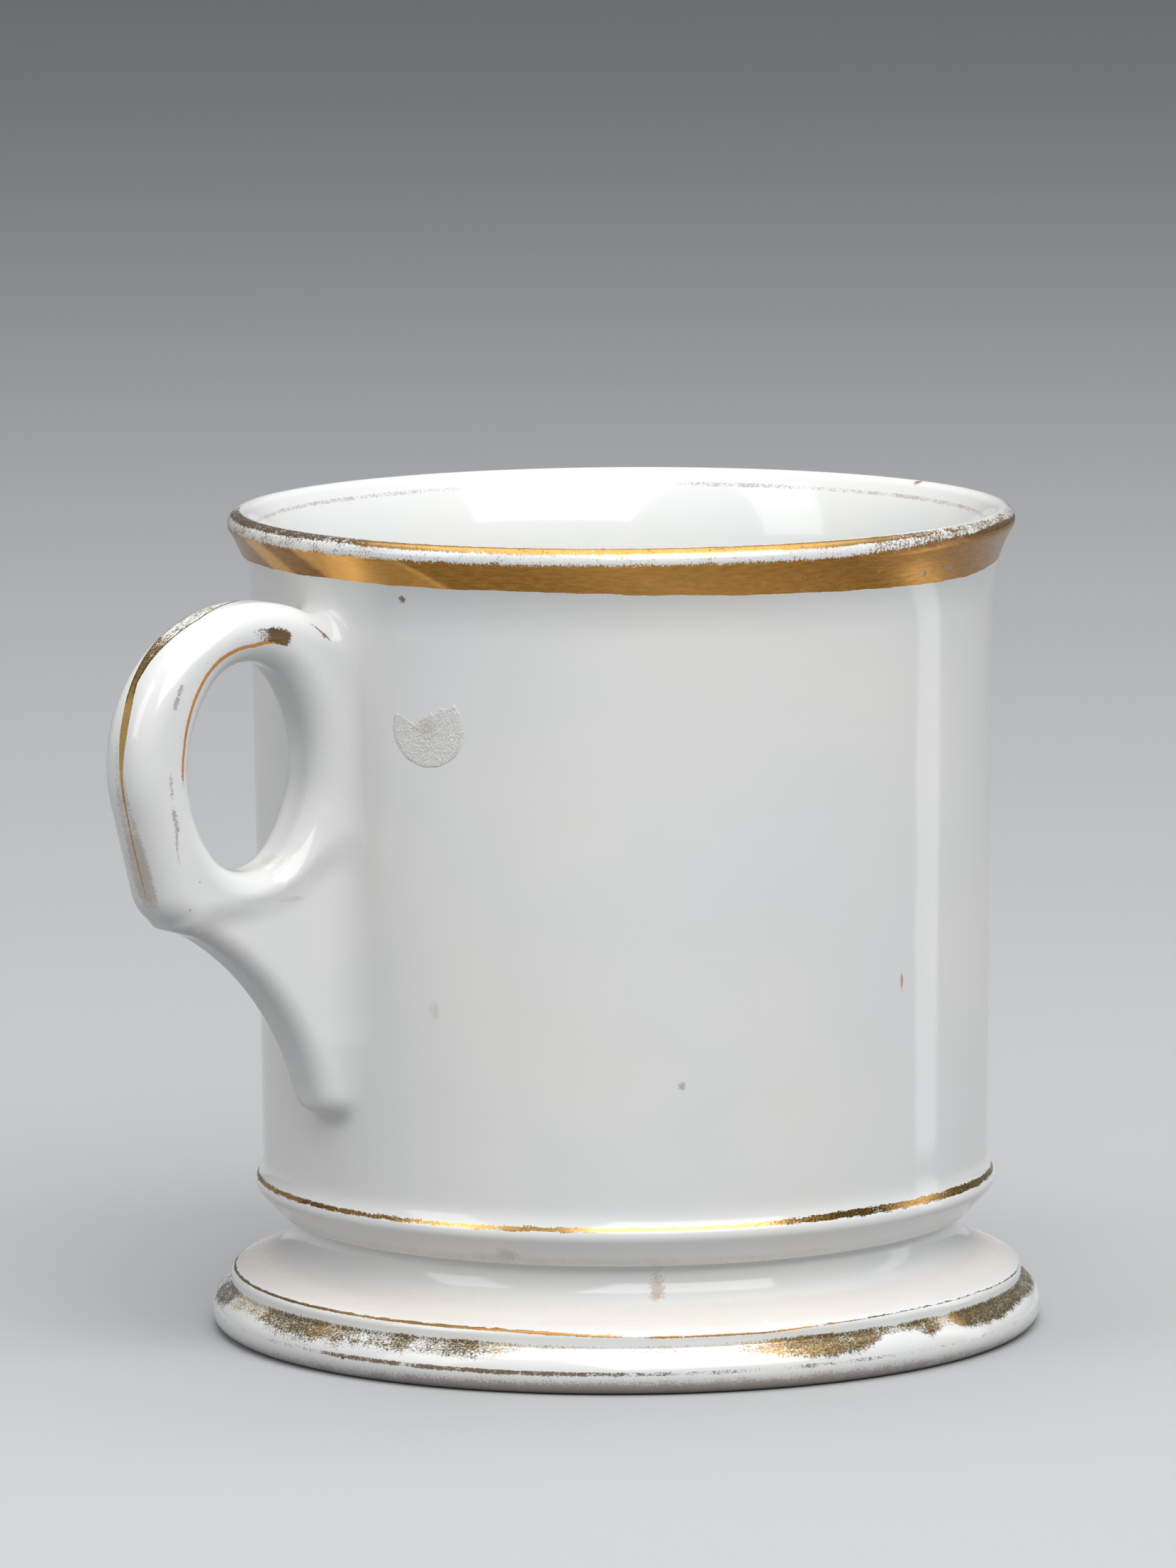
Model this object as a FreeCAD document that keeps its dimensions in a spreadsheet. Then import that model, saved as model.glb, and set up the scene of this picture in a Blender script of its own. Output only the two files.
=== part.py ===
"""Occupational shaving mug: a one-piece porcelain mug on a spreading foot, with a looped handle.

The mug stands on its foot ring with its axis on Z, and the handle points towards -X.
All lengths are millimetres and all angles degrees.
"""
import FreeCAD
import Part
import math
import os
import re
import Sketcher

SIZES = {
    # cup and lip
    "height": 92,
    "body_radius": 40.65,
    "body_taper": 0.75,
    "flare_drop": 10.2,
    "flare_spread": 2.5,
    "lip_round": 1.45,
    # rounded ring above the waist
    "ring_proud": 0.85,
    "ring_rise": 3.7,
    "ring_round": 1.3,
    "ring_flare_round": 4,
    "ring_under_angle": 47,
    # waist and spreading foot
    "waist_depth": 3.4,
    "waist_straight": 1,
    "cove_round": 3.5,
    "slope_angle": 23,
    "foot_spread": 9.35,
    "step_inset": 2.2,
    "step_rise": 1.06,
    "step_round": 0.9,
    "foot_upper_round": 3,
    "foot_lower_round": 2,
    # inside of the cup
    "wall": 3.3,
    "floor_thickness": 4.8,
    "floor_round": 6,
    # hollow under the foot, inside the ring that the mug stands on
    "seat_width": 2.2,
    "seat_chamfer": 0.7,
    "hollow_below_waist": 0.9,
    "hollow_round": 4,
    "hollow_angle": 43,
    # room that the handle leaves under the lip and above the ring
    "handle_top_gap": 6.8,
    "handle_low_gap": 9.6,
    # loop of the handle, drawn from the middle of its round top
    "loop_out": 10.75,
    "loop_round": 17.1,
    "loop_width": 8.6,
    "strap_lean": 14.6,
    "strap_straight": 10.2,
    "heel_round": 5,
    # finger hole, an upright oval of four arcs, from the thickness of the strap round it
    "strap_top": 6.1,
    "strap_side": 7.9,
    "hole_inward": 7.2,
    "hole_drop": 12.6,
    "hole_end_share": 0.79,
    # bead below the hole, and how the rounded edges share its thickness
    "bead": 4.1,
    "bead_flat": 0.1,
    "bead_end_angle": 35,
    "outer_edge_share": 0.575,
    # tail that sweeps down from the heel of the loop to the body
    "tail_inset": 0.7,
    "tail_edge_round": 2.6,
    "tail_start_angle": 22,
    "tail_end_angle": 78.5,
    "tip_round": 2.2,
    "tip_proud": 0.8,
    # how far the handle's root lies inside the outer wall, and the round of the corner there
    "root_depth": 1.6,
    "root_round": 2.5,
}

# sizes that follow from the driving ones, each from those before it
WORKED = {
    "waist_radius": "body_radius - waist_depth",
    "foot_radius": "waist_radius + foot_spread",
    "step_radius": "foot_radius - step_inset",
    "seat_radius": "foot_radius - foot_lower_round - seat_width",
    "crease_height": "foot_lower_round + sqrt(foot_upper_round ^ 2 - (foot_upper_round - step_inset) ^ 2)",
    "step_top_radius": "step_radius - step_round * (1 - sin(slope_angle * 1 deg))",
    "step_top_height": "crease_height + step_rise + step_round * cos(slope_angle * 1 deg)",
    "cove_low_radius": "waist_radius + cove_round * (1 - sin(slope_angle * 1 deg))",
    "cove_low_height": "step_top_height + (step_top_radius - cove_low_radius) * tan(slope_angle * 1 deg)",
    "waist_height": "cove_low_height + cove_round * cos(slope_angle * 1 deg)",
    "ring_edge_height": "waist_height + waist_straight",
    "ring_height": "ring_edge_height + ring_rise",
    "nose_radius": "body_radius + ring_proud - ring_round",
    "nose_low_radius": "nose_radius + ring_round * sin(ring_under_angle * 1 deg)",
    "nose_low_height": "ring_height - ring_round * cos(ring_under_angle * 1 deg)",
    "nose_across": "body_radius + ring_flare_round - nose_radius",
    "nose_reach": "ring_round + ring_flare_round",
    "nose_rise": "sqrt(nose_reach ^ 2 - nose_across ^ 2)",
    "hollow_height": "waist_height - hollow_below_waist",
    "hollow_run": "(hollow_height - hollow_round - seat_chamfer) * cos(hollow_angle * 1 deg)",
    "hollow_radius": "seat_radius - seat_chamfer - (hollow_round + hollow_run) / sin(hollow_angle * 1 deg)",
    "floor_height": "hollow_height + floor_thickness",
    "inner_radius": "body_radius - wall",
    "body_top_radius": "body_radius + body_taper",
    "flare_start": "height - flare_drop",
    "lip_out": "flare_spread - lip_round",
    "lip_rise": "flare_drop - lip_round",
    "flare_round": "(lip_out ^ 2 + lip_rise ^ 2 - lip_round ^ 2) / (2 * (lip_round + lip_out))",
    "lip_share": "lip_round / (flare_round + lip_round)",
    # the handle's drawing: outwards from the middle of the loop's round top, and up
    "strap_out": "loop_round * cos(strap_lean * 1 deg) - strap_straight * sin(strap_lean * 1 deg)",
    "strap_up": "-loop_round * sin(strap_lean * 1 deg) - strap_straight * cos(strap_lean * 1 deg)",
    "heel_out": "strap_out - heel_round * cos(strap_lean * 1 deg)",
    "heel_up": "strap_up + heel_round * sin(strap_lean * 1 deg)",
    "tail_out": "heel_out + heel_round * sin(tail_start_angle * 1 deg)",
    "tail_up": "heel_up - heel_round * cos(tail_start_angle * 1 deg)",
    "tip_out": "tip_proud - loop_out",
    "tail_run": "tail_out - tip_out - tip_round * sin(tail_end_angle * 1 deg)",
    "tail_round": "tail_run / (sin(tail_end_angle * 1 deg) - sin(tail_start_angle * 1 deg))",
    "sweep_out": "tail_out + tail_round * sin(tail_start_angle * 1 deg)",
    "sweep_up": "tail_up - tail_round * cos(tail_start_angle * 1 deg)",
    "tip_up": "sweep_up + (tail_round + tip_round) * cos(tail_end_angle * 1 deg)",
    "handle_room": "height - handle_top_gap - handle_low_gap - ring_height",
    "handle_scale": "handle_room / (loop_round + tip_round - tip_up)",
    "loop_height": "height - handle_top_gap - loop_round * handle_scale",
    "root_in": "loop_out + root_depth / handle_scale",
    "hole_out": "(loop_round - strap_side - hole_inward) / 2",
    "hole_up": "(loop_round - strap_top - hole_drop) / 2",
    "hole_half_width": "(loop_round - strap_side + hole_inward) / 2",
    "hole_half_height": "(loop_round - strap_top + hole_drop) / 2",
    "hole_end_round": "hole_half_width * hole_end_share",
    "end_drop": "hole_half_height - hole_end_round",
    "side_spare": "hole_half_width - hole_end_round",
    "hole_side_round": "(hole_half_width ^ 2 + end_drop ^ 2 - hole_end_round ^ 2) / (2 * side_spare)",
    "hole_turn": "hole_side_round / (hole_side_round - hole_end_round)",
    "bead_up": "hole_up - end_drop",
    "bead_round": "hole_end_round + bead",
    "heel_gap": "sqrt((heel_out - hole_out) ^ 2 + (bead_up - heel_up) ^ 2)",
    "heel_slope": "atan((bead_up - heel_up) / (heel_out - hole_out)) / 1 deg",
    "bead_start_angle": "heel_slope - asin((bead_round - heel_round) / heel_gap) / 1 deg",
    "outer_edge_round": "(bead - bead_flat) * outer_edge_share",
    "hole_edge_round": "(bead - bead_flat) * (1 - outer_edge_share)",
    "tail_width": "loop_width - 2 * tail_inset",
}

NEAR = 1e-5


def bound(formula):
    """The formula with each size's name turned into its cell of one of the two sheets."""
    def cell(word):
        sheet = "Sizes." if word[0] in SIZES else "Worked." if word[0] in WORKED else ""
        return sheet + word[0]
    return re.sub("[a-z_]+", cell, formula)


def fill_sheet(document, label, contents):
    """One row for each size: its name, and its number or formula under an alias of that name."""
    sheet = document.addObject("Spreadsheet::Sheet", label)
    for row, (name, content) in enumerate(contents.items(), start=1):
        sheet.set(f"A{row}", name)
        sheet.set(f"B{row}", content)
        sheet.setAlias(f"B{row}", name)
    document.recompute()


class Outline:
    """A closed sketch outline: every corner and radius is a formula of the sheets' sizes."""

    def __init__(self, body, name):
        self.sketch = body.newObject("Sketcher::SketchObject", name)
        plane = next(item for item in body.Origin.OriginFeatures if item.Role == "XZ_Plane")
        self.sketch.AttachmentSupport = [(plane, "")]
        self.sketch.MapMode = "FlatFace"

    def number(self, formula):
        value = self.sketch.evalExpression(bound(formula))
        return float(getattr(value, "Value", value))

    def vector(self, corner):
        return FreeCAD.Vector(self.number(corner[0]), self.number(corner[1]), 0)

    def bind(self, constraint, formula):
        index = self.sketch.addConstraint(constraint)
        self.sketch.setExpression(f"Constraints[{index}]", bound(formula))

    def pin(self, edge, end, corner):
        """Ties one end of a line or an arc to the corner's two formulas."""
        place = self.vector(corner)
        self.bind(Sketcher.Constraint("DistanceX", -1, 1, edge, end, place.x), corner[0])
        self.bind(Sketcher.Constraint("DistanceY", -1, 1, edge, end, place.y), corner[1])

    def line(self, start, end):
        edge = self.sketch.addGeometry(Part.LineSegment(self.vector(start), self.vector(end)), False)
        self.pin(edge, 1, start)
        self.pin(edge, 2, end)
        return end

    def arc(self, start, end, radius, turn):
        """An arc of under half a turn; turn is 1 for anticlockwise and -1 for clockwise."""
        first, last, size = self.vector(start), self.vector(end), self.number(radius)
        chord = last - first
        rise = math.sqrt(max(size ** 2 - chord.Length ** 2 / 4, 0))
        across = FreeCAD.Vector(-chord.y, chord.x, 0).normalize()
        centre = (first + last) * 0.5 + across * (turn * rise)
        angles = [math.atan2(place.y - centre.y, place.x - centre.x) for place in (first, last)]
        circle = Part.Circle(centre, FreeCAD.Vector(0, 0, 1), size)
        edge = self.sketch.addGeometry(Part.ArcOfCircle(circle, *angles[::turn]), False)
        self.pin(edge, 1, start if turn > 0 else end)
        self.pin(edge, 2, end if turn > 0 else start)
        self.bind(Sketcher.Constraint("Radius", edge, size), radius)
        return end


def draw_outside(profile):
    """The outside of the turned body, from the foot's lower edge up to the crest of the lip."""
    here = ("foot_radius - foot_lower_round", "0")
    here = profile.arc(here, ("foot_radius", "foot_lower_round"), "foot_lower_round", 1)
    here = profile.arc(here, ("step_radius", "crease_height"), "foot_upper_round", 1)
    here = profile.line(here, ("step_radius", "crease_height + step_rise"))
    here = profile.arc(here, ("step_top_radius", "step_top_height"), "step_round", 1)
    here = profile.line(here, ("cove_low_radius", "cove_low_height"))
    here = profile.arc(here, ("waist_radius", "waist_height"), "cove_round", -1)
    here = profile.line(here, ("waist_radius", "ring_edge_height"))
    under_run = "(nose_low_height - ring_edge_height) / tan(ring_under_angle * 1 deg)"
    here = profile.line(here, (f"nose_low_radius - {under_run}", "ring_edge_height"))
    here = profile.line(here, ("nose_low_radius", "nose_low_height"))
    nose_high = (
        "nose_radius + ring_round * nose_across / nose_reach",
        "ring_height + ring_round * nose_rise / nose_reach",
    )
    here = profile.arc(here, nose_high, "ring_round", 1)
    here = profile.arc(here, ("body_radius", "ring_height + nose_rise"), "ring_flare_round", -1)
    here = profile.line(here, ("body_top_radius", "flare_start"))
    lip_outer = (
        "body_top_radius + lip_out + (flare_round - lip_out) * lip_share",
        "height - lip_round - lip_rise * lip_share",
    )
    here = profile.arc(here, lip_outer, "flare_round", -1)
    return profile.arc(here, ("body_top_radius + lip_out", "height"), "lip_round", 1)


def draw_inside(profile, crest):
    """The inside of the cup, from the crest of the lip down to the middle of its floor."""
    lip_inner = (
        "body_top_radius + lip_out - (flare_round - lip_out) * lip_share",
        "height - lip_round + lip_rise * lip_share",
    )
    here = profile.arc(crest, lip_inner, "lip_round", 1)
    flare_low = ("body_top_radius - 2 * lip_round", "flare_start")
    here = profile.arc(here, flare_low, "flare_round + 2 * lip_round", 1)
    here = profile.line(here, ("inner_radius", "floor_height + floor_round"))
    here = profile.arc(here, ("inner_radius - floor_round", "floor_height"), "floor_round", -1)
    return profile.line(here, ("0", "floor_height"))


def draw_hollow(profile, floor_middle):
    """The hollow under the foot, from the axis out to the ring that the mug stands on."""
    here = profile.line(floor_middle, ("0", "hollow_height"))
    here = profile.line(here, ("hollow_radius", "hollow_height"))
    hollow_side = (
        "hollow_radius + hollow_round * sin(hollow_angle * 1 deg)",
        "hollow_height - hollow_round * (1 - cos(hollow_angle * 1 deg))",
    )
    here = profile.arc(here, hollow_side, "hollow_round", -1)
    here = profile.line(here, ("seat_radius - seat_chamfer", "seat_chamfer"))
    here = profile.line(here, ("seat_radius", "0"))
    profile.line(here, ("foot_radius - foot_lower_round", "0"))


def make_turned_body(document):
    """The cup, ring, waist and foot, turned in one profile."""
    body = document.addObject("PartDesign::Body", "turned_body")
    profile = Outline(body, "turned_profile")
    crest = draw_outside(profile)
    floor_middle = draw_inside(profile, crest)
    draw_hollow(profile, floor_middle)
    turning = body.newObject("PartDesign::Revolution", "turning")
    turning.Profile = profile.sketch
    turning.ReferenceAxis = (profile.sketch, ["V_Axis"])
    turning.Angle = 360
    return body


def on_handle(outwards, upwards):
    """A corner of the handle's drawing, brought to its size and place on the -X side of the wall."""
    return (
        f"-(body_radius + handle_scale * (loop_out + {outwards}))",
        f"loop_height + handle_scale * ({upwards})",
    )


def off(centre, radius, angle, turn=1):
    """A corner of the drawing on an arc's lower side, at an angle from straight below its centre."""
    side = "+" if turn > 0 else "-"
    return (
        f"{centre[0]} {side} ({radius}) * sin(({angle}) * 1 deg)",
        f"{centre[1]} - ({radius}) * cos(({angle}) * 1 deg)",
    )


def to_scale(length):
    return f"handle_scale * ({length})"


def draw_hole(outline):
    """The finger hole: two end arcs and two side arcs that meet smoothly."""
    across = "(hole_side_round - hole_half_width) * (hole_turn - 1)"
    rise = "end_drop * hole_turn"
    right_high, left_high, left_low, right_low = (
        on_handle(f"hole_out {x} {across}", f"hole_up {z} {rise}")
        for x, z in ("-+", "++", "+-", "--")
    )
    outline.arc(right_high, left_high, to_scale("hole_end_round"), 1)
    outline.arc(left_high, left_low, to_scale("hole_side_round"), 1)
    outline.arc(left_low, right_low, to_scale("hole_end_round"), 1)
    outline.arc(right_low, right_high, to_scale("hole_side_round"), 1)


def side_edges(outline, feature, corner, width):
    """Names of the two edges, one in each side face of a plate, that pass through a corner."""
    place = outline.vector(corner)
    names = []
    for side in (-1, 1):
        spot = Part.Vertex(place.x, side * outline.number(width) / 2, place.y)
        for index, edge in enumerate(feature.Shape.Edges, start=1):
            if edge.BoundBox.YLength < NEAR and edge.distToShape(spot)[0] < NEAR:
                names.append(f"Edge{index}")
                break
    return names


def make_plate(outline, body, width):
    """A plate of the given width, half on each side of the plane through the mug's axis."""
    pad = body.newObject("PartDesign::Pad", f"{body.Name}_plate")
    pad.Profile = outline.sketch
    pad.SideType = "Symmetric"
    pad.setExpression("Length", bound(width))
    body.Document.recompute()
    return pad


def round_edges(outline, feature, corner, width, radius):
    """Rounds both side edges through a corner, and every edge that runs on smoothly from them."""
    body = outline.sketch.getParentGeoFeatureGroup()
    rounding = body.newObject("PartDesign::Fillet", f"{body.Name}_edge")
    rounding.Base = (feature, side_edges(outline, feature, corner, width))
    rounding.setExpression("Radius", bound(to_scale(radius)))
    body.Document.recompute()
    return rounding


def make_loop(document):
    """The loop: a thick plate round the finger hole, rounded to a strap with a bead below the hole."""
    body = document.addObject("PartDesign::Body", "handle_loop")
    outline = Outline(body, "loop_outline")
    bead = ("hole_out", "bead_up")
    bead_end = off(bead, "bead_round", "bead_end_angle", -1)
    bead_rise = f"({bead_end[0]} + root_in) * tan(bead_end_angle * 1 deg)"
    apex = on_handle("0", "loop_round")
    root_top = on_handle("-root_in", "sqrt(loop_round ^ 2 - root_in ^ 2)")

    here = outline.arc(root_top, apex, to_scale("loop_round"), 1)
    here = outline.arc(here, on_handle(*off(("0", "0"), "loop_round", "90 - strap_lean")), to_scale("loop_round"), 1)
    here = outline.line(here, on_handle("strap_out", "strap_up"))
    heel_end = off(("heel_out", "heel_up"), "heel_round", "bead_start_angle", -1)
    here = outline.arc(here, on_handle(*heel_end), to_scale("heel_round"), 1)
    here = outline.line(here, on_handle(*off(bead, "bead_round", "bead_start_angle", -1)))
    here = outline.arc(here, on_handle(*bead_end), to_scale("bead_round"), 1)
    here = outline.line(here, on_handle("-root_in", f"{bead_end[1]} + {bead_rise}"))
    outline.line(here, root_top)
    draw_hole(outline)

    width = to_scale("loop_width")
    plate = make_plate(outline, body, width)
    rounded = round_edges(outline, plate, apex, width, "outer_edge_round")
    hole_side = on_handle("hole_out + hole_half_width", "hole_up")
    round_edges(outline, rounded, hole_side, width, "hole_edge_round")
    return body


def make_tail(document):
    """The tail: a narrower plate that sweeps from the heel of the loop down to the body."""
    body = document.addObject("PartDesign::Body", "handle_tail")
    outline = Outline(body, "tail_outline")
    heel = on_handle("heel_out", "heel_up")
    tail_end = on_handle(
        "sweep_out - tail_round * sin(tail_end_angle * 1 deg)",
        "sweep_up + tail_round * cos(tail_end_angle * 1 deg)",
    )
    middle_round = "hole_end_round + bead / 2"

    here = outline.line(heel, on_handle("tail_out", "tail_up"))
    here = outline.arc(here, tail_end, to_scale("tail_round"), -1)
    here = outline.arc(here, on_handle("tip_out", "tip_up - tip_round"), to_scale("tip_round"), 1)
    here = outline.line(here, on_handle("-root_in", "tip_up - tip_round"))
    here = outline.line(here, on_handle("-root_in", "bead_up"))
    here = outline.line(here, on_handle(f"hole_out - ({middle_round})", "bead_up"))
    here = outline.arc(here, on_handle("hole_out", f"bead_up - ({middle_round})"), to_scale(middle_round), -1)
    outline.line(here, heel)

    width = to_scale("tail_width")
    plate = make_plate(outline, body, width)
    round_edges(outline, plate, tail_end, width, "tail_edge_round")
    return body


def join(document, cup, plates):
    """One solid of the cup and the handle's plates."""
    joined = document.addObject("Part::MultiFuse", "joined")
    joined.Shapes = [cup, *plates]
    document.recompute()
    return joined


def blend_root(document, joined, cup, plates):
    """Rounds the corner all along the line where the handle leaves the outer wall."""
    radius = float(document.Sizes.root_round * document.Worked.handle_scale)
    wall = cup.Shape.Shells[0]
    skins = [plate.Shape.Shells[0] for plate in plates]
    edges = []
    for index, edge in enumerate(joined.Shape.Edges, start=1):
        middle = Part.Vertex(edge.valueAt((edge.FirstParameter + edge.LastParameter) / 2))
        on_skin = min(skin.distToShape(middle)[0] for skin in skins) < NEAR
        if on_skin and wall.distToShape(middle)[0] < NEAR:
            edges.append((index, radius, radius))
    blend = document.addObject("Part::Fillet", "mug")
    blend.Base = joined
    blend.Edges = edges
    document.recompute()
    return blend


def check(document):
    """Stops the build when an object failed or a solid isn't sound."""
    for item in document.Objects:
        if "Invalid" in item.State or "Error" in item.State:
            raise RuntimeError(f"{item.Name} did not build")
        shape = getattr(item, "Shape", None)
        if shape is not None and shape.Solids and not shape.isValid():
            raise RuntimeError(f"{item.Name} has an unsound shape")


def write_step(node):
    """Writes one node to a file that carries its label."""
    if node.Shape.isNull() or len(node.Shape.Solids) != 1:
        raise RuntimeError(f"{node.Label} is not one solid")
    os.makedirs("parts", exist_ok=True)
    node.Shape.exportStep(f"parts/{node.Label}.step")
    print(f"{node.Label}: {node.Shape.Volume / 1000:.2f} cm3, {len(node.Shape.Faces)} faces")


def main():
    document = FreeCAD.newDocument("shaving_mug")
    fill_sheet(document, "Sizes", {name: str(value) for name, value in SIZES.items()})
    fill_sheet(document, "Worked", {name: "=" + bound(formula) for name, formula in WORKED.items()})
    cup = make_turned_body(document)
    plates = [make_loop(document), make_tail(document)]
    joined = join(document, cup, plates)
    mug = blend_root(document, joined, cup, plates)
    mug.Label = "mug"
    mug.Placement = FreeCAD.Placement()
    document.recompute()
    check(document)
    write_step(mug)


main()
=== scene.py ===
# %% [markdown]
# # A worn porcelain shaving mug
# The mug was turned and moulded in clay, its handle was stuck on wet, and the whole was glazed and gilded.
# So it is one closed skin here too. This file builds that skin, its glaze and worn gilding, a plain studio
# and a camera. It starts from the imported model, which fixes the size and the place.

import math

import bmesh
import bpy
import numpy as np
from mathutils import Matrix, Vector, noise


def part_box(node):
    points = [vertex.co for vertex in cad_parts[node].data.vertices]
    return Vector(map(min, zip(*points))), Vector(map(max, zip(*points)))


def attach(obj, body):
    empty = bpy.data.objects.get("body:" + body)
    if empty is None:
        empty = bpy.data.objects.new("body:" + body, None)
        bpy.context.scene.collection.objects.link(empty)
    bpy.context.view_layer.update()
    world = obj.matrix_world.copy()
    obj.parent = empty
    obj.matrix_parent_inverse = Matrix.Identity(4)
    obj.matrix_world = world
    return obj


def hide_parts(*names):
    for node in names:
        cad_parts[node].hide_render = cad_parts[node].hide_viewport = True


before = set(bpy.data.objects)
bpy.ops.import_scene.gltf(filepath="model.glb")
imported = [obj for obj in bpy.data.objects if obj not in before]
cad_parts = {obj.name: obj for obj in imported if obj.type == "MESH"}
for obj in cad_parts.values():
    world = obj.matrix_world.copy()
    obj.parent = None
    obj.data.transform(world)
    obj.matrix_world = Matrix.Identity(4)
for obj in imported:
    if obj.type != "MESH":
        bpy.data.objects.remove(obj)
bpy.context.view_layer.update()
low, high = (Vector(corner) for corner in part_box("mug"))
print("packed mug, mm:", [round(1000 * size, 1) for size in high - low])

# %% [markdown]
# ## The turned outline
# A potter's template gives the cup, ring, waist and foot in one outline. The same lines and arcs as in the
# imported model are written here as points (radius, height) in millimetres, close together on tight rounds and
# far apart on flat runs. The outline starts on the axis in the hollow under the foot and ends on the axis at
# the cup's floor, so that both ends close to a point.

# %% Lines and arcs of the outline
MM = 0.001
HEIGHT = 1000 * high.z
FOOT_RADIUS = 1000 * high.y
outline = []


def step_to(points):
    """Adds points to the outline."""
    outline.extend(tuple(point) for point in points)


def heading(angle):
    """The unit step in a direction given in degrees."""
    return np.array((math.cos(math.radians(angle)), math.sin(math.radians(angle))))


def line(end, count=1):
    """Points on the way from the last point to the end, with a close pair at each corner."""
    start, end = np.array(outline[-1]), np.array(end)
    corner = min(0.12 / max(np.linalg.norm(end - start), 1e-9), 0.3)
    shares = np.concatenate(([corner], np.linspace(0, 1, count + 1)[1:-1], [1 - corner, 1]))
    return start + np.unique(shares)[:, None] * (end - start)


def arc(centre, radius, start, end, step=9):
    """Points on an arc between two angles in degrees, from just after its start."""
    count = max(2, math.ceil(abs(end - start) / step))
    angles = np.radians(np.linspace(start, end, count + 1)[1:])
    return np.array(centre) + radius * np.column_stack((np.cos(angles), np.sin(angles)))


# %% Foot and hollow
WAIST_RADIUS, SLOPE, COVE_ROUND, COVE_HEIGHT = 37.25, 23, 3.5, 11.9
STEP_RADIUS, STEP_TOP, STEP_ROUND, LOW_ROUND, SIDE_ROUND = 44.4, 5.95, 0.9, 2, 3
HOLLOW_HEIGHT, HOLLOW_RADIUS, HOLLOW_ANGLE, HOLLOW_ROUND = 11, 29.1, 43, 4
SEAT_RADIUS, SEAT_CHAMFER = 42.4, 0.7

step_to([(0, HOLLOW_HEIGHT), (HOLLOW_RADIUS / 2, HOLLOW_HEIGHT), (HOLLOW_RADIUS, HOLLOW_HEIGHT)])
step_to(arc((HOLLOW_RADIUS, HOLLOW_HEIGHT - HOLLOW_ROUND), HOLLOW_ROUND, 90, 90 - HOLLOW_ANGLE))
step_to(line((SEAT_RADIUS - SEAT_CHAMFER, SEAT_CHAMFER), 3))
step_to(line((SEAT_RADIUS, 0)))
step_to(line((FOOT_RADIUS - LOW_ROUND, 0)))
step_to(arc((FOOT_RADIUS - LOW_ROUND, LOW_ROUND), LOW_ROUND, -90, 0, 8))
crease_angle = math.degrees(math.acos((STEP_RADIUS - FOOT_RADIUS + SIDE_ROUND) / SIDE_ROUND))
step_to(arc((FOOT_RADIUS - SIDE_ROUND, LOW_ROUND), SIDE_ROUND, 0, crease_angle, 6))
step_to(line((STEP_RADIUS, STEP_TOP)))
step_to(arc((STEP_RADIUS - STEP_ROUND, STEP_TOP), STEP_ROUND, 0, 90 - SLOPE, 11))
cove_centre = np.array((WAIST_RADIUS + COVE_ROUND, COVE_HEIGHT))
step_to(line(cove_centre + COVE_ROUND * heading(-90 - SLOPE), 5))
step_to(arc(cove_centre, COVE_ROUND, -90 - SLOPE, -180, 8))
print("outline so far:", len(outline), "points, foot", 2 * FOOT_RADIUS, "mm across")

# %% Ring, wall and lip
WALL_LOW, WALL_TOP, WALL_THICK, FLARE_START = 40.65, 41.4, 3.3, HEIGHT - 10.2
LIP_RADIUS, LIP_ROUND, FLOOR_ROUND, FLOOR_HEIGHT = 43.9, 1.45, 6, 15.8
RING_HEIGHT, RING_ROUND, RING_FLARE, RING_UNDER, UNDER_LEAN = 16.6, 1.3, 4, 12.9, 47
NOSE_RADIUS = WALL_LOW + 0.85 - RING_ROUND
WINDOW_LOW, WINDOW_STEP, WINDOW_ROWS = 22, 0.5, 131

step_to(line((WAIST_RADIUS, RING_UNDER)))
nose = np.array((NOSE_RADIUS, RING_HEIGHT))
nose_low = nose + RING_ROUND * heading(UNDER_LEAN - 90)
step_to(line((nose_low[0] - (nose_low[1] - RING_UNDER) / math.tan(math.radians(UNDER_LEAN)), RING_UNDER)))
step_to(line(nose_low, 2))
nose_reach, nose_gap = RING_ROUND + RING_FLARE, WALL_LOW + RING_FLARE - NOSE_RADIUS
nose_turn = math.degrees(math.acos(nose_gap / nose_reach))
step_to(arc(nose, RING_ROUND, UNDER_LEAN - 90, nose_turn, 7))
ring_top = RING_HEIGHT + math.sqrt(nose_reach ** 2 - nose_gap ** 2)
step_to(arc((WALL_LOW + RING_FLARE, ring_top), RING_FLARE, 180 + nose_turn, 180, 6))
LIP = np.array((LIP_RADIUS, HEIGHT)) - LIP_ROUND
flare_across, flare_rise = LIP[0] - WALL_TOP, LIP[1] - FLARE_START
FLARE = (flare_across ** 2 + flare_rise ** 2 - LIP_ROUND ** 2) / (2 * (LIP_ROUND + flare_across))


def wall_radius(height):
    """Radius of the outer wall at a height, from above the ring to below the lip."""
    share = (height - ring_top) / (FLARE_START - ring_top)
    cone = WALL_LOW + share * (WALL_TOP - WALL_LOW)
    rise = np.clip(height - FLARE_START, 0, FLARE * 0.9)
    flared = WALL_TOP + FLARE - np.sqrt(FLARE ** 2 - rise ** 2)
    return np.where(height > FLARE_START, flared, cone)


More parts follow.
